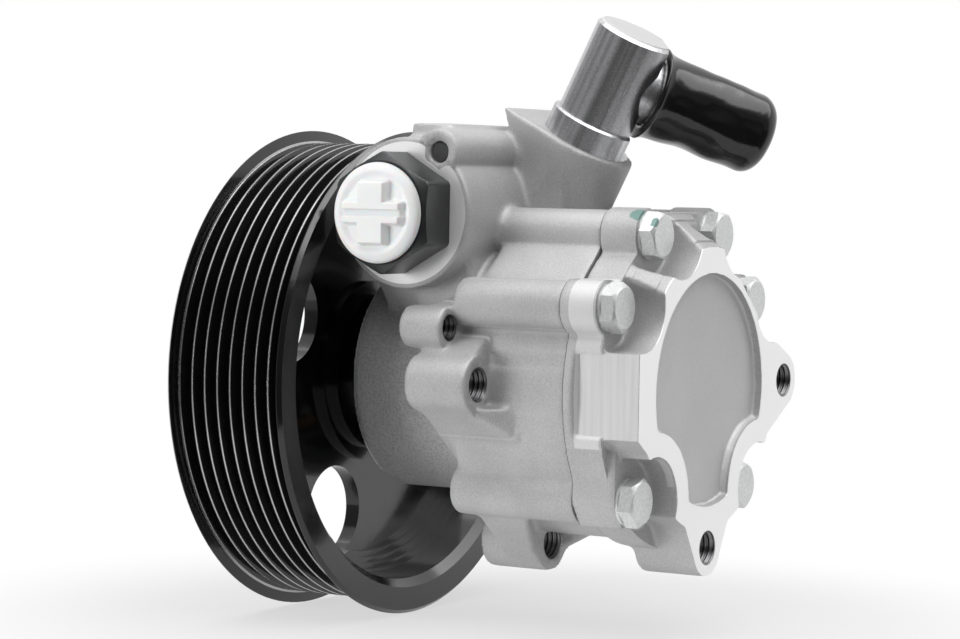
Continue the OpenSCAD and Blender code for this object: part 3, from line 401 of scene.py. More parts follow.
def coat_finish(colours, sizes):
    """Black coat with a painted highlight: a thin bright metallic line along the crest of each rib"""
    s = Shader("pulley_black_coat")
    peel = s.noise(900, 2)
    dust = s.noise(260, 4).rise(0.52, 0.75)
    reach = s.round_about(Y, (0, 0, 0))
    rib = abs((s.y / sizes.rib_pitch + 0.5) % 1.0 - 0.5) * sizes.rib_pitch
    # Painted highlight: a thin bright metallic line on each rib's crest stands in for the light caught by the
    # crest's rounded edge
    painted_crest_line = (rib < sizes.crest_line_width / 2) * (reach > sizes.crest_radius - 0.08 * MM)
    painted_crest_line = painted_crest_line * (reach < sizes.crest_radius + 0.5 * MM) * (0.7 + s.noise(90, 3) * 0.5)
    colour = s.mix(dust * 0.35, rgb(colours.coat), rgb(colours.coat, 2.2))
    colour = s.mix(painted_crest_line, colour, rgb(colours.milled, 0.6))
    return s.surface(Base_Color=colour, Metallic=painted_crest_line * 0.85, Roughness=0.15 + dust * 0.06 + painted_crest_line * 0.1,
                     Coat_Weight=0.3 - painted_crest_line * 0.3, Coat_Roughness=0.08, Normal=s.bump(peel, 0.03 * MM, 0.6))


def plated_finish(name, colour, rough, scratches, streak=(1, 1, 1), paint=None):
    """Bright plated steel with a fine speckled sheen"""
    s = Shader(name)
    fine = s.noise(scratches, 3, streak)
    pit = s.noise(2600, 1).rise(0.6, 0.74)
    base = s.mix(fine.rise(0.35, 0.7) * 0.7 + pit * 0.3, rgb(colour, 0.8), rgb(colour))
    shine = rough + fine * 0.1 + pit * 0.08
    if paint is not None:
        mark = s.near(PAINT_ON_BOLT, 1.7 * MM, 0.7 * MM)
        base = s.mix(mark * 0.8, base, rgb(paint))
        shine = shine + mark * 0.12
        return s.surface(Base_Color=base, Metallic=0.65 - mark * 0.5, Roughness=shine,
                         Normal=s.bump(fine, 0.03 * MM))
    return s.surface(Base_Color=base, Metallic=1.0, Roughness=shine, Normal=s.bump(fine, 0.02 * MM))


def elbow_finish(colours, sizes):
    """Zinc plate over turned steel: streaks that run along the leaning elbow, under a fine speckle, and a
    painted highlight on the top face
    """
    s = Shader("elbow_zinc_plate")
    along = s.leaning(sizes.elbow_tilt)
    streak = s.noise(1.0, 3, (700, 700, 9), along)
    speck = s.noise(2300, 2)
    base = s.mix((streak * 0.7 + speck * 0.3).rise(0.34, 0.64), rgb(colours.elbow, 0.6), rgb(colours.elbow))
    base = s.mix(speck.rise(0.62, 0.72) * 0.4, base, (0.95, 0.95, 0.96))
    # Painted highlight: the top face along the lean gets a near-white, far less metallic colour than the body
    lean = np.array([0.0, math.sin(sizes.elbow_tilt), math.cos(sizes.elbow_tilt)])
    crown = (node_points("suction_elbow") @ lean).max()
    top = (s.y * lean[Y] + s.z * lean[Z]) > float(crown - 0.3 * MM)
    base = s.mix(top, base, rgb(colours.milled, 0.84))
    return s.surface(Base_Color=base, Metallic=0.92 - top * 0.8,
                     Roughness=0.26 + speck * 0.12 + streak * 0.08 + top * 0.25,
                     Normal=s.bump(streak * 0.6 + speck * 0.4, 0.05 * MM))


def phosphate_finish(name, colour):
    """Dark satin steel, rubbed a little lighter in patches"""
    s = Shader(name)
    fine = s.noise(3200, 3)
    rub = s.noise(240, 3).rise(0.5, 0.8)
    base = s.mix(rub * 0.5 + fine * 0.3, rgb(colour), rgb(colour, 2.4))
    return s.surface(Base_Color=base, Metallic=0.35, Roughness=0.24 + fine * 0.14, Specular_IOR_Level=1.0,
                     Normal=s.bump(fine, 0.015 * MM))


def plastic_finish(colours):
    """White plastic that lets a little light through"""
    s = Shader("dust_cap_plastic")
    flow = s.noise(140, 2)
    fine = s.noise(1800, 2)
    base = s.mix(flow, rgb(colours.plastic, 0.97), rgb(colours.plastic))
    return s.surface(Base_Color=base, Roughness=0.34 + fine * 0.1, Subsurface_Weight=0.35,
                     Subsurface_Scale=1.2 * MM, Normal=s.bump(flow, 0.05 * MM, 0.4))


def vinyl_finish(colours):
    """Glossy black vinyl with shallow dimples and a trace of dust"""
    s = Shader("black_vinyl")
    dimple = s.noise(420, 2)
    dust = s.noise(1300, 3).rise(0.56, 0.75)
    base = s.mix(dust * 0.3, rgb(colours.vinyl), rgb(colours.vinyl, 3.0))
    return s.surface(Base_Color=base, Roughness=0.12 + dust * 0.08, Specular_IOR_Level=0.5,
                     Normal=s.bump(dimple, 0.12 * MM, 0.35))


def rubber_finish():
    """Dull black rubber"""
    s = Shader("seal_rubber")
    fine = s.noise(2200, 3)
    base = s.mix(fine, (0.010, 0.010, 0.011), (0.020, 0.020, 0.021))
    return s.surface(Base_Color=base, Roughness=0.5 + fine * 0.15, Normal=s.bump(fine, 0.02 * MM))


def dress(material, *nodes):
    """Gives CAD nodes a finish"""
    for node in nodes:
        NODES[node].data.materials.clear()
        NODES[node].data.materials.append(material)


def circle(steps):
    """Even angles round a circle"""
    return np.arange(steps) * 2 * np.pi / steps


def grid_faces(rows, columns, wrap_rows=False):
    """Quads of a grid of points whose columns close on themselves"""
    row, column = np.meshgrid(np.arange(rows if wrap_rows else rows - 1), np.arange(columns), indexing="ij")
    after, beside = (row + 1) % rows, (column + 1) % columns
    return np.stack([row * columns + column, row * columns + beside, after * columns + beside,
                     after * columns + column], -1).reshape(-1, 4)


def make_piece(name, points, faces, material, body):
    """Object of a mesh from points and faces, riding on a body"""
    mesh = bpy.data.meshes.new(name)
    mesh.from_pydata(points.reshape(-1, 3).tolist(), [], faces.tolist())
    mesh.validate()
    return place_piece(name, mesh, material, body)


def linked(name, data):
    """New object in the scene"""
    made = bpy.data.objects.new(name, data)
    bpy.context.scene.collection.objects.link(made)
    return made


def place_piece(name, mesh, material, body):
    """Smooth object of a mesh with a finish, riding on a body"""
    mesh.polygons.foreach_set("use_smooth", np.ones(len(mesh.polygons), bool))
    mesh.materials.clear()
    mesh.materials.append(material)
    piece = linked(name, mesh)
    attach(piece, body)
    return piece


def across(axis):
    """Two unit vectors at right angles to axis and each other"""
    axis = np.asarray(axis, float) / np.linalg.norm(axis)
    side = np.cross(axis, (0.0, 0.0, 1.0))
    side /= np.linalg.norm(side)
    return axis, side, np.cross(axis, side)


def turned_surface(origin, axis, radius, height, angle):
    """Point = origin + axis × height + radius × (side × cos angle + up × sin angle)"""
    along, side, up = across(axis)
    return (np.asarray(origin) + along * height[..., None]
            + radius[..., None] * (side * np.cos(angle)[..., None] + up * np.sin(angle)[..., None]))


class Plane:
    """Machined flat at a value on an axis, within a box"""

    def __init__(self, axis, value, low=(-1, -1, -1), high=(1, 1, 1)):
        self.axis, self.value, self.low, self.high = axis, value, np.array(low), np.array(high)

    def find(self, points, reach):
        inside = np.all((points > self.low - reach) & (points < self.high + reach), 1)
        self.chosen = inside & (np.abs(points[:, self.axis] - self.value) < reach)

    def put_back(self, points):
        points[self.chosen, self.axis] = self.value


class Bore:
    """Machined bore along an axis, between two heights; wide is the radius shown"""

    def __init__(self, axis, centre, radius, start, end, wide=None):
        self.axis, self.radius, self.start, self.end = axis, radius, start, end
        self.wide = wide or radius
        self.others = [i for i in range(3) if i != axis]
        self.centre = np.asarray(centre, float)[self.others]

    def find(self, points, reach):
        out = np.linalg.norm(points[:, self.others] - self.centre, axis=1)
        along = points[:, self.axis]
        within = (along > self.start - reach) & (along < self.end + reach)
        self.chosen = (np.abs(out - self.radius) < reach) & within

    def put_back(self, points):
        offset = points[np.ix_(self.chosen, self.others)] - self.centre
        offset *= self.wide / np.linalg.norm(offset, axis=1, keepdims=True)
        points[np.ix_(self.chosen, self.others)] = self.centre + offset


def thinned(mesh, most):
    """Mesh whose shortest edges are folded away until it has no more than so many triangles"""
    count = sum(len(face.vertices) - 2 for face in mesh.polygons)
    if count <= most:
        return mesh
    whole = linked("casting_source", mesh)
    fold = whole.modifiers.new("Thin", "DECIMATE")
    fold.ratio = most / count
    thin = bpy.data.meshes.new_from_object(whole.evaluated_get(bpy.context.evaluated_depsgraph_get()))
    bpy.data.objects.remove(whole)
    return thin


def softened(node, voxel, passes, machined, most, reshape=None):
    """Copy of a cast solid with rounded edges: its surface is cut into even voxels, reshaped, then each point
    moves half way to the mean of its neighbours, so many times, and points on machined faces go back."""
    copy = bmesh.new()
    copy.from_mesh(NODES[node].data)
    bmesh.ops.remove_doubles(copy, verts=copy.verts, dist=2e-6)
    mesh = bpy.data.meshes.new(node + "_source")
    copy.to_mesh(mesh)
    copy.free()
    source = linked(node + "_source", mesh)
    remesh = source.modifiers.new("Voxels", "REMESH")
    remesh.mode, remesh.voxel_size = "VOXEL", voxel
    soft = bpy.data.meshes.new_from_object(source.evaluated_get(bpy.context.evaluated_depsgraph_get()))
    bpy.data.objects.remove(source)
    count = len(soft.vertices)
    points = np.empty(3 * count, np.float32)
    soft.vertices.foreach_get("co", points)
    points = points.reshape(-1, 3).astype(float)
    edges = np.empty(2 * len(soft.edges), np.int32)
    soft.edges.foreach_get("vertices", edges)
    first, second = edges.reshape(-1, 2).T
    ties = np.bincount(edges, minlength=count)[:, None]
    for face in machined:
        face.find(points, 0.6 * voxel)
    if reshape:
        reshape(points)
    for _ in range(passes):
        total = np.stack([np.bincount(first, points[second, k], count)
                          + np.bincount(second, points[first, k], count) for k in range(3)], 1)
        points += 0.5 * (total / ties - points)
        for face in machined:
            face.put_back(points)
    soft.vertices.foreach_set("co", points.astype(np.float32).ravel())
    soft.update()
    return thinned(soft, most)


def ramp(value, start, end):
    """0 below start, 1 above end and a smooth rise between them"""
    share = np.clip((value - start) / (end - start), 0, 1)
    return share * share * (3 - 2 * share)


def bared_nose(points):
    """Block in front of the port's axis sinks onto the nose: radius = nose + (radius - nose) × (1 - share),
    where share falls to 0 at the valve body, behind the port's axis and past the shaft."""
    x, y, z = points.T
    radius = np.maximum(np.hypot(x, z), 1e-6)
    under = VALVE_BODY - np.hypot(y - VALVE_AXIS[Y], z - VALVE_AXIS[Z])
    share = ramp(-under, 0.3 * MM, 3.5 * MM) * (1 - ramp(y, 31.0 * MM, 34.0 * MM)) * ramp(x, 2 * MM, 6 * MM)
    share = share * (z > 0) * (y > NOSE_FRONT) * (radius > NOSE_RADIUS) * (z < VALVE_AXIS[Z])
    points[:, [X, Z]] *= (1 - share * (1 - NOSE_RADIUS / radius))[:, None]


def tapped(name):
    """Centre, radius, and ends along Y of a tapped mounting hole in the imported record"""
    mount = MOUNTS[name]
    centre, half = np.array(mount["pos_m"]), mount["dims"]["length_mm"] * MM / 2
    return centre, mount["dims"]["r_mm"] * MM, centre[Y] - half, centre[Y] + half


BOLT_B = np.array([15.13, 88.6, 35.3]) * MM
PAINT_ON_BOLT = BOLT_B + np.array([4.5, 2.0, 3.6]) * MM
PAINT_ON_COVER = BOLT_B + np.array([4.5, -2.4, 5.8]) * MM
LUG_HOLES = ("front_side_lug", "front_lower_lug", "bracket_lug")
EAR_HOLES = ("rear_side_ear", "rear_lower_ear")


class PUMP_OT_castings(bpy.types.Operator):
    """Make the housing and the rear cover with the soft edges of castings"""

    bl_idname = "pump.castings"
    bl_label = "Castings"

    def execute(self, context):
        sizes, colours = context.scene.pump_sizes, context.scene.pump_colours
        wide = sizes.thread_depth
        shaft = (0, 0, 0)
        cavity = (HIGH["cam_ring"][X] - LOW["cam_ring"][X]) / 2
        bearing = (HIGH["bearing_outer_ring"][Z] - LOW["bearing_outer_ring"][Z]) / 2
        plug = [LOW["pressure_union"][X], sizes.port_face]
        machined = [
            Bore(Y, shaft, cavity, LOW["front_port_plate"][Y], JOINT_Y, cavity + 0.1 * MM),
            Bore(Y, shaft, bearing, NOSE_FRONT, HIGH["bearing_outer_ring"][Y]),
            Bore(X, VALVE_AXIS, VALVE_BORE, LOW["flow_valve_spring"][X], plug[0], VALVE_BORE + 0.1 * MM),
            Bore(X, VALVE_AXIS, PLUG_BORE, *plug),
            Bore(X, VALVE_AXIS, SEAT_BORE, sizes.port_face, sizes.pin_face),
            Plane(Y, JOINT_Y), Plane(Y, NOSE_FRONT),
            Plane(Y, LOW["front_port_plate"][Y], (-cavity, 0, -cavity), (cavity, 1, cavity)),
            Plane(X, sizes.port_face, VALVE_AXIS - 18 * MM, VALVE_AXIS + 40 * MM), Plane(X, sizes.pin_face)]
        for name in LUG_HOLES:
            centre, radius, start, end = tapped(name)
            room = np.array([9, 20, 9]) * MM
            machined += [Plane(Y, start, centre - room, centre + room),
                         Plane(Y, end, centre - room, centre + room),
                         Bore(Y, centre, radius, start, end, radius + wide)]
        housing = place_piece(
            "cast_housing", softened("pump_housing", sizes.housing_voxel, sizes.housing_softness, machined,
                                     sizes.most_triangles, bared_nose),
            housing_finish(colours), "housing")
        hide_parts("pump_housing")
        machined = [
            Plane(Y, JOINT_Y), Plane(Y, COVER_FACE), Plane(Y, JOINT_Y + sizes.flange),
            Plane(Y, JOINT_Y + sizes.flange + sizes.lower_rise), Plane(Y, COVER_FACE - sizes.recess_depth),
            Plane(X, sizes.side_flat)]
        for name in EAR_HOLES:
            centre, radius, start, end = tapped(name)
            machined.append(Bore(Y, centre, radius, start, end, radius + wide))
        cover = place_piece(
            "cast_cover", softened("rear_cover", sizes.cover_voxel, sizes.cover_softness, machined,
                                   sizes.most_triangles),
            cover_finish(colours, sizes), "housing")
        cover.data.set_sharp_from_angle(angle=math.radians(50))
        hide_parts("rear_cover")
        return {"FINISHED"}


class PUMP_OT_threads(bpy.types.Operator):
    """Cut the threads of the tapped mounting holes"""

    bl_idname = "pump.threads"
    bl_label = "Threads"

    def execute(self, context):
        sizes = context.scene.pump_sizes
        steel = plated_finish("thread_flank", (0.22, 0.22, 0.225), 0.3, 900)
        for name in LUG_HOLES + EAR_HOLES:
            centre, radius, start, end = tapped(name)
            self.thread("thread_" + name, centre, radius, start + 0.1 * MM, end - 0.1 * MM, sizes, steel)
        return {"FINISHED"}

    def thread(self, name, centre, radius, start, end, sizes, material):
        """Tube whose inner radius = minor + depth × triangle wave of (height ÷ pitch − angle ÷ turn)"""
        around = 48
        height = np.linspace(start, end, int((end - start) / sizes.thread_pitch * 8))
        h, a = np.meshgrid(height, circle(around), indexing="ij")
        turn = (h / sizes.thread_pitch - a / (2 * np.pi)) % 1.0
        inner = radius + sizes.thread_depth * np.clip(1.15 - np.abs(2 * turn - 1) * 1.3, 0, 0.97)
        inner[0] = inner[-1] = radius + 0.9 * sizes.thread_depth
        outer = np.full((1, around), radius + sizes.thread_depth * 0.995)
        radii = np.concatenate([outer, inner, outer])
        heights = np.concatenate([h[:1], h, h[-1:]]) - centre[Y]
        points = turned_surface(centre, (0, 1, 0), radii, heights, np.vstack([a[:1], a, a[-1:]]))
        make_piece(name, points, grid_faces(len(radii), around, True), material, "housing")


class PUMP_OT_pulley(bpy.types.Operator):
    """Coat the belt pulley"""

    bl_idname = "pump.pulley"
    bl_label = "Pulley"

    def execute(self, context):
        dress(coat_finish(context.scene.pump_colours, context.scene.pump_sizes), "pulley")
        return {"FINISHED"}


class PUMP_OT_inner_parts(bpy.types.Operator):
    """Finish the shaft, bearing, seals and pumping set"""

    bl_idname = "pump.inner_parts"
    bl_label = "Inner parts"

    def execute(self, context):
        dress(plated_finish("ground_steel", (0.62, 0.62, 0.63), 0.2, 1500, (1, 6, 1)),
              "drive_shaft", "bearing_inner_ring", "bearing_outer_ring", "bearing_balls", "locating_pins",
              "flow_valve_spool")
        dress(plated_finish("spring_steel", (0.12, 0.12, 0.125), 0.34, 1200),
              "bearing_circlip", "rotor_circlip")
        dress(plated_finish("sintered_steel", (0.36, 0.36, 0.37), 0.42, 2400),
              "front_port_plate", "rear_port_plate", "cam_ring", "rotor", "vanes")
        dress(plated_finish("bearing_bronze", (0.52, 0.33, 0.14), 0.32, 1600), "bearing_cage", "rear_bush")
        dress(rubber_finish(), "shaft_seal", "cover_seal", "union_seal", "elbow_seal")
        return {"FINISHED"}


class PUMP_OT_valve_spring(bpy.types.Operator):
    """Wind the flow valve's spring at its rest length"""

    bl_idname = "pump.valve_spring"
    bl_label = "Valve spring"

    def execute(self, context):
        """Centre line = axis point + coil radius × (cos, sin) of the turn, climbing evenly;
        a circle is carried along it"""
        sizes = context.scene.pump_sizes
        low, high = LOW["flow_valve_spring"], HIGH["flow_valve_spring"]
        wire = sizes.spring_wire / 2
        coil = (high[Z] - low[Z]) / 2 - wire
        steps, around = int(sizes.spring_turns * 40), 12
        share = np.linspace(0, 1, steps)
        turn = share * sizes.spring_turns * 2 * np.pi
        ends = 1.2 / sizes.spring_turns
        climb = np.clip((share - ends) / (1 - 2 * ends), 0, 1) * (high[X] - low[X] - 4.2 * wire)
        climb = climb + 2.1 * wire * np.clip(share / ends, 0, 1) * 0.5 + 2.1 * wire * np.clip(
            (share - 1 + ends) / ends, 0, 1) * 0.5
        ring = circle(around)
        out = coil + wire * np.cos(ring)[None, :]
        points = np.stack([
            np.broadcast_to(low[X] + wire + climb[:, None] + wire * np.sin(ring)[None, :], (steps, around)),
            VALVE_AXIS[Y] + out * np.cos(turn)[:, None], VALVE_AXIS[Z] + out * np.sin(turn)[:, None]], -1)
        faces = grid_faces(steps, around).tolist()
        caps = [list(range(around))[::-1], [(steps - 1) * around + k for k in range(around)]]
        mesh = bpy.data.meshes.new("coil_spring")
        mesh.from_pydata(points.reshape(-1, 3).tolist(), [], faces + caps)
        mesh.validate()
        steel = plated_finish("spring_wire", (0.30, 0.30, 0.31), 0.3, 1400)
        spring = place_piece("coil_spring", mesh, steel, "housing")
        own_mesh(spring)
        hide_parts("flow_valve_spring")
        return {"FINISHED"}


class PUMP_OT_fasteners(bpy.types.Operator):
    """Plate the cover bolts and finish the gallery pin"""

    bl_idname = "pump.fasteners"
    bl_label = "Fasteners"

    def execute(self, context):
        colours = context.scene.pump_colours
        dress(plated_finish("bolt_zinc", colours.zinc, 0.36, 1600, (1, 1, 1), colours.paint), "cover_bolts")
        dress(phosphate_finish("pin_dark_steel", (0.05, 0.05, 0.052)), "gallery_pin")
        return {"FINISHED"}


class PUMP_OT_pressure_port(bpy.types.Operator):
    """Finish the pressure union and its dust cap"""

    bl_idname = "pump.pressure_port"
    bl_label = "Pressure port"

    def execute(self, context):
        colours = context.scene.pump_colours
        sizes = context.scene.pump_sizes
        self.hexagon(sizes, phosphate_finish("union_phosphate", colours.phosphate))
        self.dust_cap(sizes, plastic_finish(colours))
        self.port_seat(sizes, seat_finish(colours))
        return {"FINISHED"}

    def hexagon(self, sizes, material):
        """Radius = the lesser of half width ÷ cos(angle from the nearest flat) and the front cone's radius,
        on a profile that goes round the outside and back through the socket and the bore"""
        low, high = LOW["pressure_union"][X], HIGH["pressure_union"][X]
        half, thread, socket, bore = sizes.union_across / 2, 11 * MM, 8.5 * MM, 4.5 * MM
        floor = high - 13 * MM
        cone = np.linspace(high - sizes.union_chamfer, high, 10)
        place = np.concatenate([[low, low, sizes.port_face, sizes.port_face + 0.1 * MM], cone,
                                [high, floor, floor, low]])
        base = np.concatenate([[bore, thread, thread], np.zeros(11), [socket, socket, bore, bore]])
        limit = np.concatenate([np.full(4, 1.0), half - 0.4 * MM + (high - cone) * 1.9, np.full(4, 1.0)])
        angle = circle(PORT_STEPS)
        flat = (angle + np.pi / 6) % (np.pi / 3) - np.pi / 6
        outline = np.minimum(half / np.cos(flat), half * 1.135)
        radius = np.where(base[:, None] > 0, base[:, None], np.minimum(outline, limit[:, None]))
        height = np.broadcast_to(place[:, None] - sizes.port_face, radius.shape)
        origin = (sizes.port_face, VALVE_AXIS[Y], VALVE_AXIS[Z])
        surface = turned_surface(origin, (1, 0, 0), radius, height, np.broadcast_to(angle, radius.shape))
        faces = grid_faces(len(place), PORT_STEPS, True)
        union = make_piece("union_hexagon", surface, faces, material, "housing")
        union.data.set_sharp_from_angle(angle=math.radians(24))
        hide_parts("pressure_union")

    def dust_cap(self, sizes, material):
        """Turned stem and domed head; front height = dome + pocket × (lift × plus - sink × (1 - plus)
        - cut × slot), where plus is the greater of two soft bars and each step is a smooth ramp"""
        seat = HIGH["pressure_union"][X] + 0.3 * MM
        head, rise = sizes.dust_cap_radius, sizes.dust_cap_rise
        stem, length = 8.2 * MM, 10 * MM
        front = np.linspace(head, 0.01 * MM, 90)
        rear = [0.01 * MM, stem - 0.7 * MM, stem, stem, head - 0.5 * MM, head - 0.1 * MM, head]
        radius = np.concatenate([rear, front])
        back = np.array([-length, -length, 0.7 * MM - length, 0.0, 0.0, 0.15 * MM, 0.5 * MM])
        angle = circle(PORT_STEPS)
        a, r = np.meshgrid(angle, radius)
        side, up = r * np.cos(a), r * np.sin(a)
        edge = 0.5 * MM
        bars = [(7.9 * MM, 2.6 * MM), (3.7 * MM, 7.2 * MM)]
        plus = np.maximum(*[(1 - ramp(np.abs(side), w - edge, w + edge))
                            * (1 - ramp(np.abs(up), t - edge, t + edge)) for w, t in bars])
        slot = (1 - ramp(np.abs(up), 0.5 * MM, 0.9 * MM)) * (1 - ramp(np.abs(side), 7.6 * MM, 8.4 * MM))
        pocket = 1 - ramp(r, head - 3.6 * MM, head - 1.8 * MM)
        dome = (rise - 1.9 * MM) * (1 - (r / head) ** 5) ** 0.5 + 0.6 * MM
        sink, lift, cut = 1.0 * MM, 1.3 * MM, 1.1 * MM
        height = dome - sink * pocket * (1 - plus) + lift * plus * pocket - cut * slot * pocket
        height[:len(rear)] = back[:, None]
        surface = turned_surface((seat, VALVE_AXIS[Y], VALVE_AXIS[Z]), (1, 0, 0), r, height, a)
        faces = grid_faces(len(radius), PORT_STEPS)
        cap = make_piece("dust_cap", surface, faces, material, "pressure_dust_cap")
        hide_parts("pressure_cap")

    def port_seat(self, sizes, material):
        """Ring turned from a six-point profile of radius and height, its front a little proud of the casting;
        its outer radius drops to clear the gallery pin, by a smooth ramp of the angle from the pin"""
        inner, outer, face = 11.6 * MM, sizes.port_seat, 0.05 * MM
        radius = np.array([inner, inner, outer - 0.3 * MM, outer, outer, inner + 0.3 * MM])
        height = np.array([-0.4 * MM, face, face, face - 0.25 * MM, -0.5 * MM, -0.5 * MM])
        a, r = np.meshgrid(circle(SEAT_STEPS), radius)
        h = np.broadcast_to(height[:, None], a.shape)
        origin = (sizes.port_face, VALVE_AXIS[Y], VALVE_AXIS[Z])
        pin = (LOW["gallery_pin"] + HIGH["gallery_pin"]) / 2 - np.array(origin)
        side, up = across((1, 0, 0))[1:]
        apart = np.abs((a - math.atan2(pin @ up, pin @ side) + np.pi) % (2 * np.pi) - np.pi)
        near_pin = 1 - ramp(apart, math.radians(9), math.radians(14))
        beside_pin = 13.6 * MM
        r = r - (r > 13 * MM) * near_pin * (outer - beside_pin)
        surface = turned_surface(origin, (1, 0, 0), r, h, a)
        faces = grid_faces(len(radius), SEAT_STEPS, True)
        ring = make_piece("port_seat", surface, faces, material, "housing")
        ring.data.set_sharp_from_angle(angle=math.radians(25))


class PUMP_OT_suction_elbow(bpy.types.Operator):
    """Plate the suction elbow and draw the vinyl cap over its stub"""

    bl_idname = "pump.suction_elbow"
    bl_label = "Suction elbow"

    def execute(self, context):
        sizes, colours = context.scene.pump_sizes, context.scene.pump_colours
        dress(elbow_finish(colours, sizes), "suction_elbow")
        self.vinyl_cap(sizes, vinyl_finish(colours))
        return {"FINISHED"}

    def vinyl_cap(self, sizes, material):
        """Radius = wall profile × taper + flare at the lip + wrinkle × a sum of sines of angle and height;
        the lip's flare falls off as an exponential of the height"""
        mount = MOUNTS["suction_stub"]
        origin, axis = np.array(mount["pos_m"]), np.array(mount["axis"])
        points = node_points("suction_cap") - origin
        height = points @ axis
        start, end = height.min() - 0.5 * MM, height.max() + sizes.cap_overlap
        flare = 0.5 * MM
        outer = np.linalg.norm(points - height[:, None] * axis, axis=1).max() - flare
        bore = outer - sizes.vinyl_wall
        around, rim, rows = 160, 4.6 * MM, 80
        quarter = np.linspace(0, np.pi / 2, 14)[1:]
        wall = np.linspace(start + 0.35 * MM, end - rim, rows)
        inside = np.linspace(end - 2.4 * MM, start + 0.5 * MM, 6)
        dish = np.linspace(outer - rim, 0.02 * MM, 12)[1:]
        radius = np.concatenate([
            [0.02 * MM], np.full(6, bore), [bore + 0.5 * MM, outer - 0.35 * MM], np.full(rows, outer),
            outer - rim + rim * np.cos(quarter), dish])
        along = np.concatenate([
            [end - 2.4 * MM], inside, [start, start], wall, end - rim + rim * np.sin(quarter),
            end - 0.4 * MM * np.clip((outer - rim - dish) / (2.5 * MM), 0, 1) ** 2])
        a, h = np.meshgrid(circle(around), along)
        share = np.clip((h - start) / (end - start), 0, 1)
        under = 0.5 + 0.5 * np.sin(a)
        wave = (0.5 * np.sin(2 * a + 2.6 * share + 0.8) + 0.4 * np.sin(3 * a - 5.0 * share + 2.0)
                + 0.25 * np.sin(5 * a + 9.0 * share) * np.sin(2.2 * np.pi * share)
                + 0.9 * under ** 2 * np.sin(15.0 * share - 1.2)
                + 0.2 * (1 - under) ** 3 * np.sin(34.0 * share + 3.0 * np.sin(a)) * share
                + 0.15 * np.sin(8 * a - 6.0 * share + 1.0))
        shown = np.zeros((len(radius), 1))
        shown[8:] = 1.0
        fade = shown * np.sin(np.pi * np.clip(0.08 + 0.88 * share, 0, 1)) ** 0.6
        taper = 1 + shown * (0.01 - 0.055 * share)
        lip = shown * 1.5 * MM * np.exp(-(h - start) / (1.6 * MM))
        radii = radius[:, None] * taper + (radius[:, None] > 2 * MM) * (sizes.wrinkle * fade * wave + lip)
        surface = turned_surface(origin, axis, np.maximum(radii, 0.01 * MM), h, a)
        faces = grid_faces(len(radius), around)
        cap = make_piece("vinyl_cap", surface, faces, material, "suction_dust_cap")
        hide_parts("suction_cap")


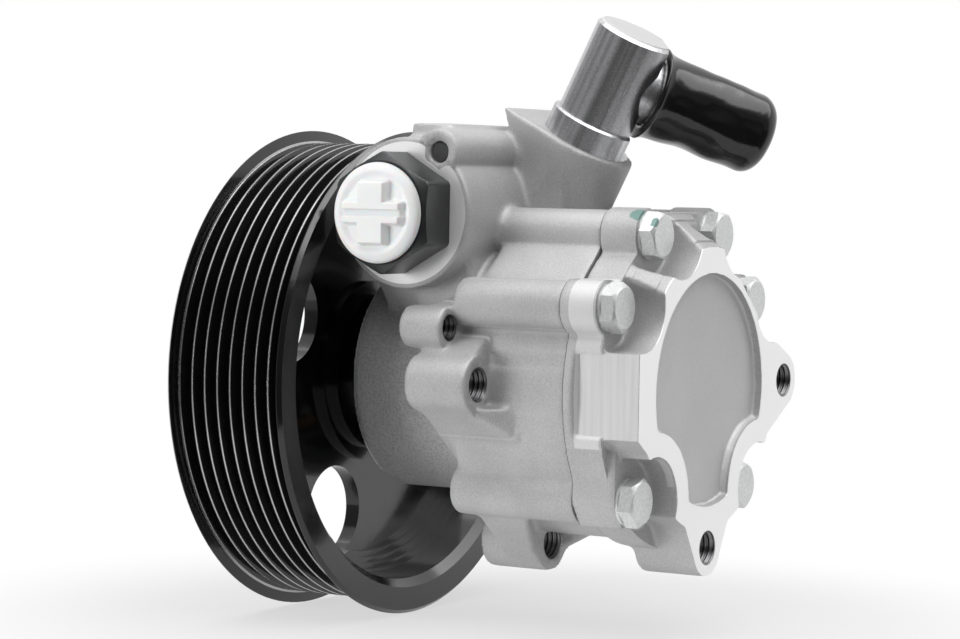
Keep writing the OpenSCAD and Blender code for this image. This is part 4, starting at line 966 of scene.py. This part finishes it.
class PUMP_OT_stage(bpy.types.Operator):
    """Set the camera, lamps, pale floor and white surroundings"""

    bl_idname = "pump.stage"
    bl_label = "Stage"

    def execute(self, context):
        stage, scene = context.scene.pump_stage, context.scene
        scene.view_settings.view_transform = "Standard"
        self.camera(stage, scene)
        self.lamp("key_lamp", KEY_PLACE, KEY_SIZE, stage.key)
        self.lamp("fill_lamp", FILL_PLACE, FILL_SIZE, stage.fill)
        self.lamp("front_lamp", FRONT_PLACE, FRONT_SIZE, stage.front, mirrored=False)
        self.surroundings(stage, scene)
        self.floor()
        return {"FINISHED"}

    def camera(self, stage, scene):
        """Camera that looks at the pump's belt plane from the photograph's place"""
        a, e, roll = stage.azimuth, stage.elevation, stage.roll
        back = np.array([math.sin(a) * math.cos(e), -math.cos(a) * math.cos(e), math.sin(e)])
        right = np.array([math.cos(a), math.sin(a), 0.0])
        up = np.cross(back, right)
        cos, sin = math.cos(roll), math.sin(roll)
        right, up = cos * right + sin * up, cos * up - sin * right
        place = back * stage.distance + right * stage.aside + up * stage.above
        data = bpy.data.cameras.new("camera")
        data.lens, data.sensor_width = stage.lens, 36.0
        data.clip_start, data.clip_end = 0.01, 20.0
        camera = linked("camera", data)
        matrix = np.eye(4)
        matrix[:3] = np.stack([right, up, back, place], 1)
        camera.matrix_world = Matrix(matrix.tolist())
        scene.camera = camera

    def lamp(self, name, place, size, power, mirrored=True):
        """Square lamp that faces the pump, and shows in reflections or doesn't"""
        data = bpy.data.lights.new(name, "AREA")
        data.size, data.energy = size, power
        lamp = linked(name, data)
        back = np.array(place) - np.array([0.0, MIDDLE_Y, 0.0])
        back, side, up = across(back)
        matrix = np.eye(4)
        matrix[:3] = np.stack([side, up, back, place], 1)
        lamp.matrix_world = Matrix(matrix.tolist())
        lamp.visible_glossy = mirrored

    def surroundings(self, stage, scene):
        """White for the camera, dimmer for dull surfaces, and in reflections a white backdrop behind the
        pump, an open top and a softbox above the cover, with the dark room on the camera's side"""
        s = Shader("studio", bpy.data.worlds, "Generated")
        scene.world = s.material
        toward = (math.sin(stage.azimuth), -math.cos(stage.azimuth))
        ahead = s.x * toward[0] + s.y * toward[1]
        aside = s.y * toward[0] - s.x * toward[1]
        turn = s.node("ShaderNodeMath", {"operation": "ARCTAN2"}, {0: aside, 1: ahead})
        turn = turn * (0.5 / math.pi) + 0.5
        dim = stage.room
        stops = [(0.0, 1.0), (0.10, 1.0), (0.16, 0.2), (0.35, 0.2), (0.40, dim), (0.56, dim), (0.59, 0.2),
                 (0.62, 0.06), (0.70, 0.12), (0.76, 1.0), (1.0, 1.0)]
        wall = s.node("ShaderNodeValToRGB", {"stops": stops}, {"Fac": turn})
        stops = [(0.0, 1.0), (0.2, 0.5), (0.33, 0.5), (0.40, dim), (0.56, dim), (0.60, 0.06), (0.70, 0.12),
                 (0.76, 1.0), (1.0, 1.0)]
        table = s.node("ShaderNodeValToRGB", {"stops": stops}, {"Fac": turn})
        tone = s.mix(s.z.rise(-0.3, -0.12), table, wall)
        tone = s.mix(s.z.rise(0.55, 0.65), tone, (1.0, 1.0, 1.0))
        mirrored = s.node("ShaderNodeLightPath", out="Is Glossy Ray")
        softbox = s.x * SOFTBOX_PLACE[X] + s.y * SOFTBOX_PLACE[Y] + s.z * SOFTBOX_PLACE[Z]
        white = s.node("ShaderNodeBackground", {}, {
            "Color": s.mix(mirrored, (1.0, 1.0, 1.0), tone),
            "Strength": 1 + mirrored * softbox.rise(0.845, 0.875) * SOFTBOX_GAIN})
        dull = s.node("ShaderNodeBackground", {}, {"Color": (1.0, 1.0, 1.0, 1.0), "Strength": stage.sky})
        shown = s.node("ShaderNodeMixShader", {}, {0: self.seen(s), 1: dull, 2: white})
        s.node("ShaderNodeOutputWorld", {}, {"Surface": shown})

    def seen(self, shader):
        """1 for rays of the camera, reflections and see-through surfaces, 0 for those on dull surfaces"""
        rays = [shader.node("ShaderNodeLightPath", out=ray)
                for ray in ("Is Camera Ray", "Is Glossy Ray", "Is Transmission Ray")]
        total = rays[0] + rays[1] + rays[2]
        return shader.node("ShaderNodeMath", {"operation": "MINIMUM"}, {0: total, 1: 1.0})

    def floor(self):
        """Pale round floor, z = the pump's lowest point, whose own white takes over further out"""
        low = CAD_BOX[0].z
        s = Shader("pale_floor")
        tone = s.mix(s.noise(8, 2), (0.90, 0.90, 0.90), (0.92, 0.92, 0.92))
        dull = s.node("ShaderNodeBsdfPrincipled", {}, {"Base Color": tone, "Roughness": 0.9})
        white = s.node("ShaderNodeEmission", {}, {"Color": (1.0, 1.0, 1.0, 1.0)})
        share = 0.62 + s.round_about(Z, (0, MIDDLE_Y, 0)).rise(0.08, 0.16) * 0.38
        shown = s.node("ShaderNodeMixShader", {}, {0: self.seen(s) * share, 1: dull, 2: white})
        s.node("ShaderNodeOutputMaterial", {}, {"Surface": shown})
        ring = circle(FLOOR_STEPS)
        radius = np.array([1e-6, 0.06, 0.12, 0.17])
        points = np.stack([radius[:, None] * np.cos(ring), MIDDLE_Y + radius[:, None] * np.sin(ring),
                           np.full((len(radius), FLOOR_STEPS), low - 0.2 * MM)], -1)
        faces = grid_faces(len(radius), FLOOR_STEPS)[:, ::-1]
        mesh = bpy.data.meshes.new("floor")
        mesh.from_pydata(points.reshape(-1, 3).tolist(), [], faces.tolist())
        mesh.materials.append(s.material)
        linked("floor", mesh)


class PUMP_PT_looks(bpy.types.Panel):
    """Lists the steps that dress the pump"""

    bl_label = "Steering pump"
    bl_idname = "PUMP_PT_looks"
    bl_space_type = "VIEW_3D"
    bl_region_type = "UI"
    bl_category = "Pump"

    def draw(self, context):
        for step in STEPS:
            self.layout.operator(step.bl_idname)
        for group in (context.scene.pump_sizes, context.scene.pump_colours, context.scene.pump_stage):
            box = self.layout.box()
            for name in group.__annotations__:
                box.prop(group, name)


STEPS = (PUMP_OT_stage, PUMP_OT_castings, PUMP_OT_threads, PUMP_OT_pulley, PUMP_OT_inner_parts,
         PUMP_OT_valve_spring, PUMP_OT_fasteners, PUMP_OT_pressure_port, PUMP_OT_suction_elbow)
CLASSES = (PumpSizes, PumpColours, StageSizes, *STEPS, PUMP_PT_looks)


def register():
    for cls in CLASSES:
        bpy.utils.register_class(cls)
    bpy.types.Scene.pump_sizes = PointerProperty(type=PumpSizes)
    bpy.types.Scene.pump_colours = PointerProperty(type=PumpColours)
    bpy.types.Scene.pump_stage = PointerProperty(type=StageSizes)


def unregister():
    del bpy.types.Scene.pump_stage, bpy.types.Scene.pump_colours, bpy.types.Scene.pump_sizes
    for cls in reversed(CLASSES):
        bpy.utils.unregister_class(cls)


def main():
    register()
    for step in STEPS:
        group, name = step.bl_idname.split(".")
        getattr(getattr(bpy.ops, group), name)()


if __name__ == "__main__":
    main()
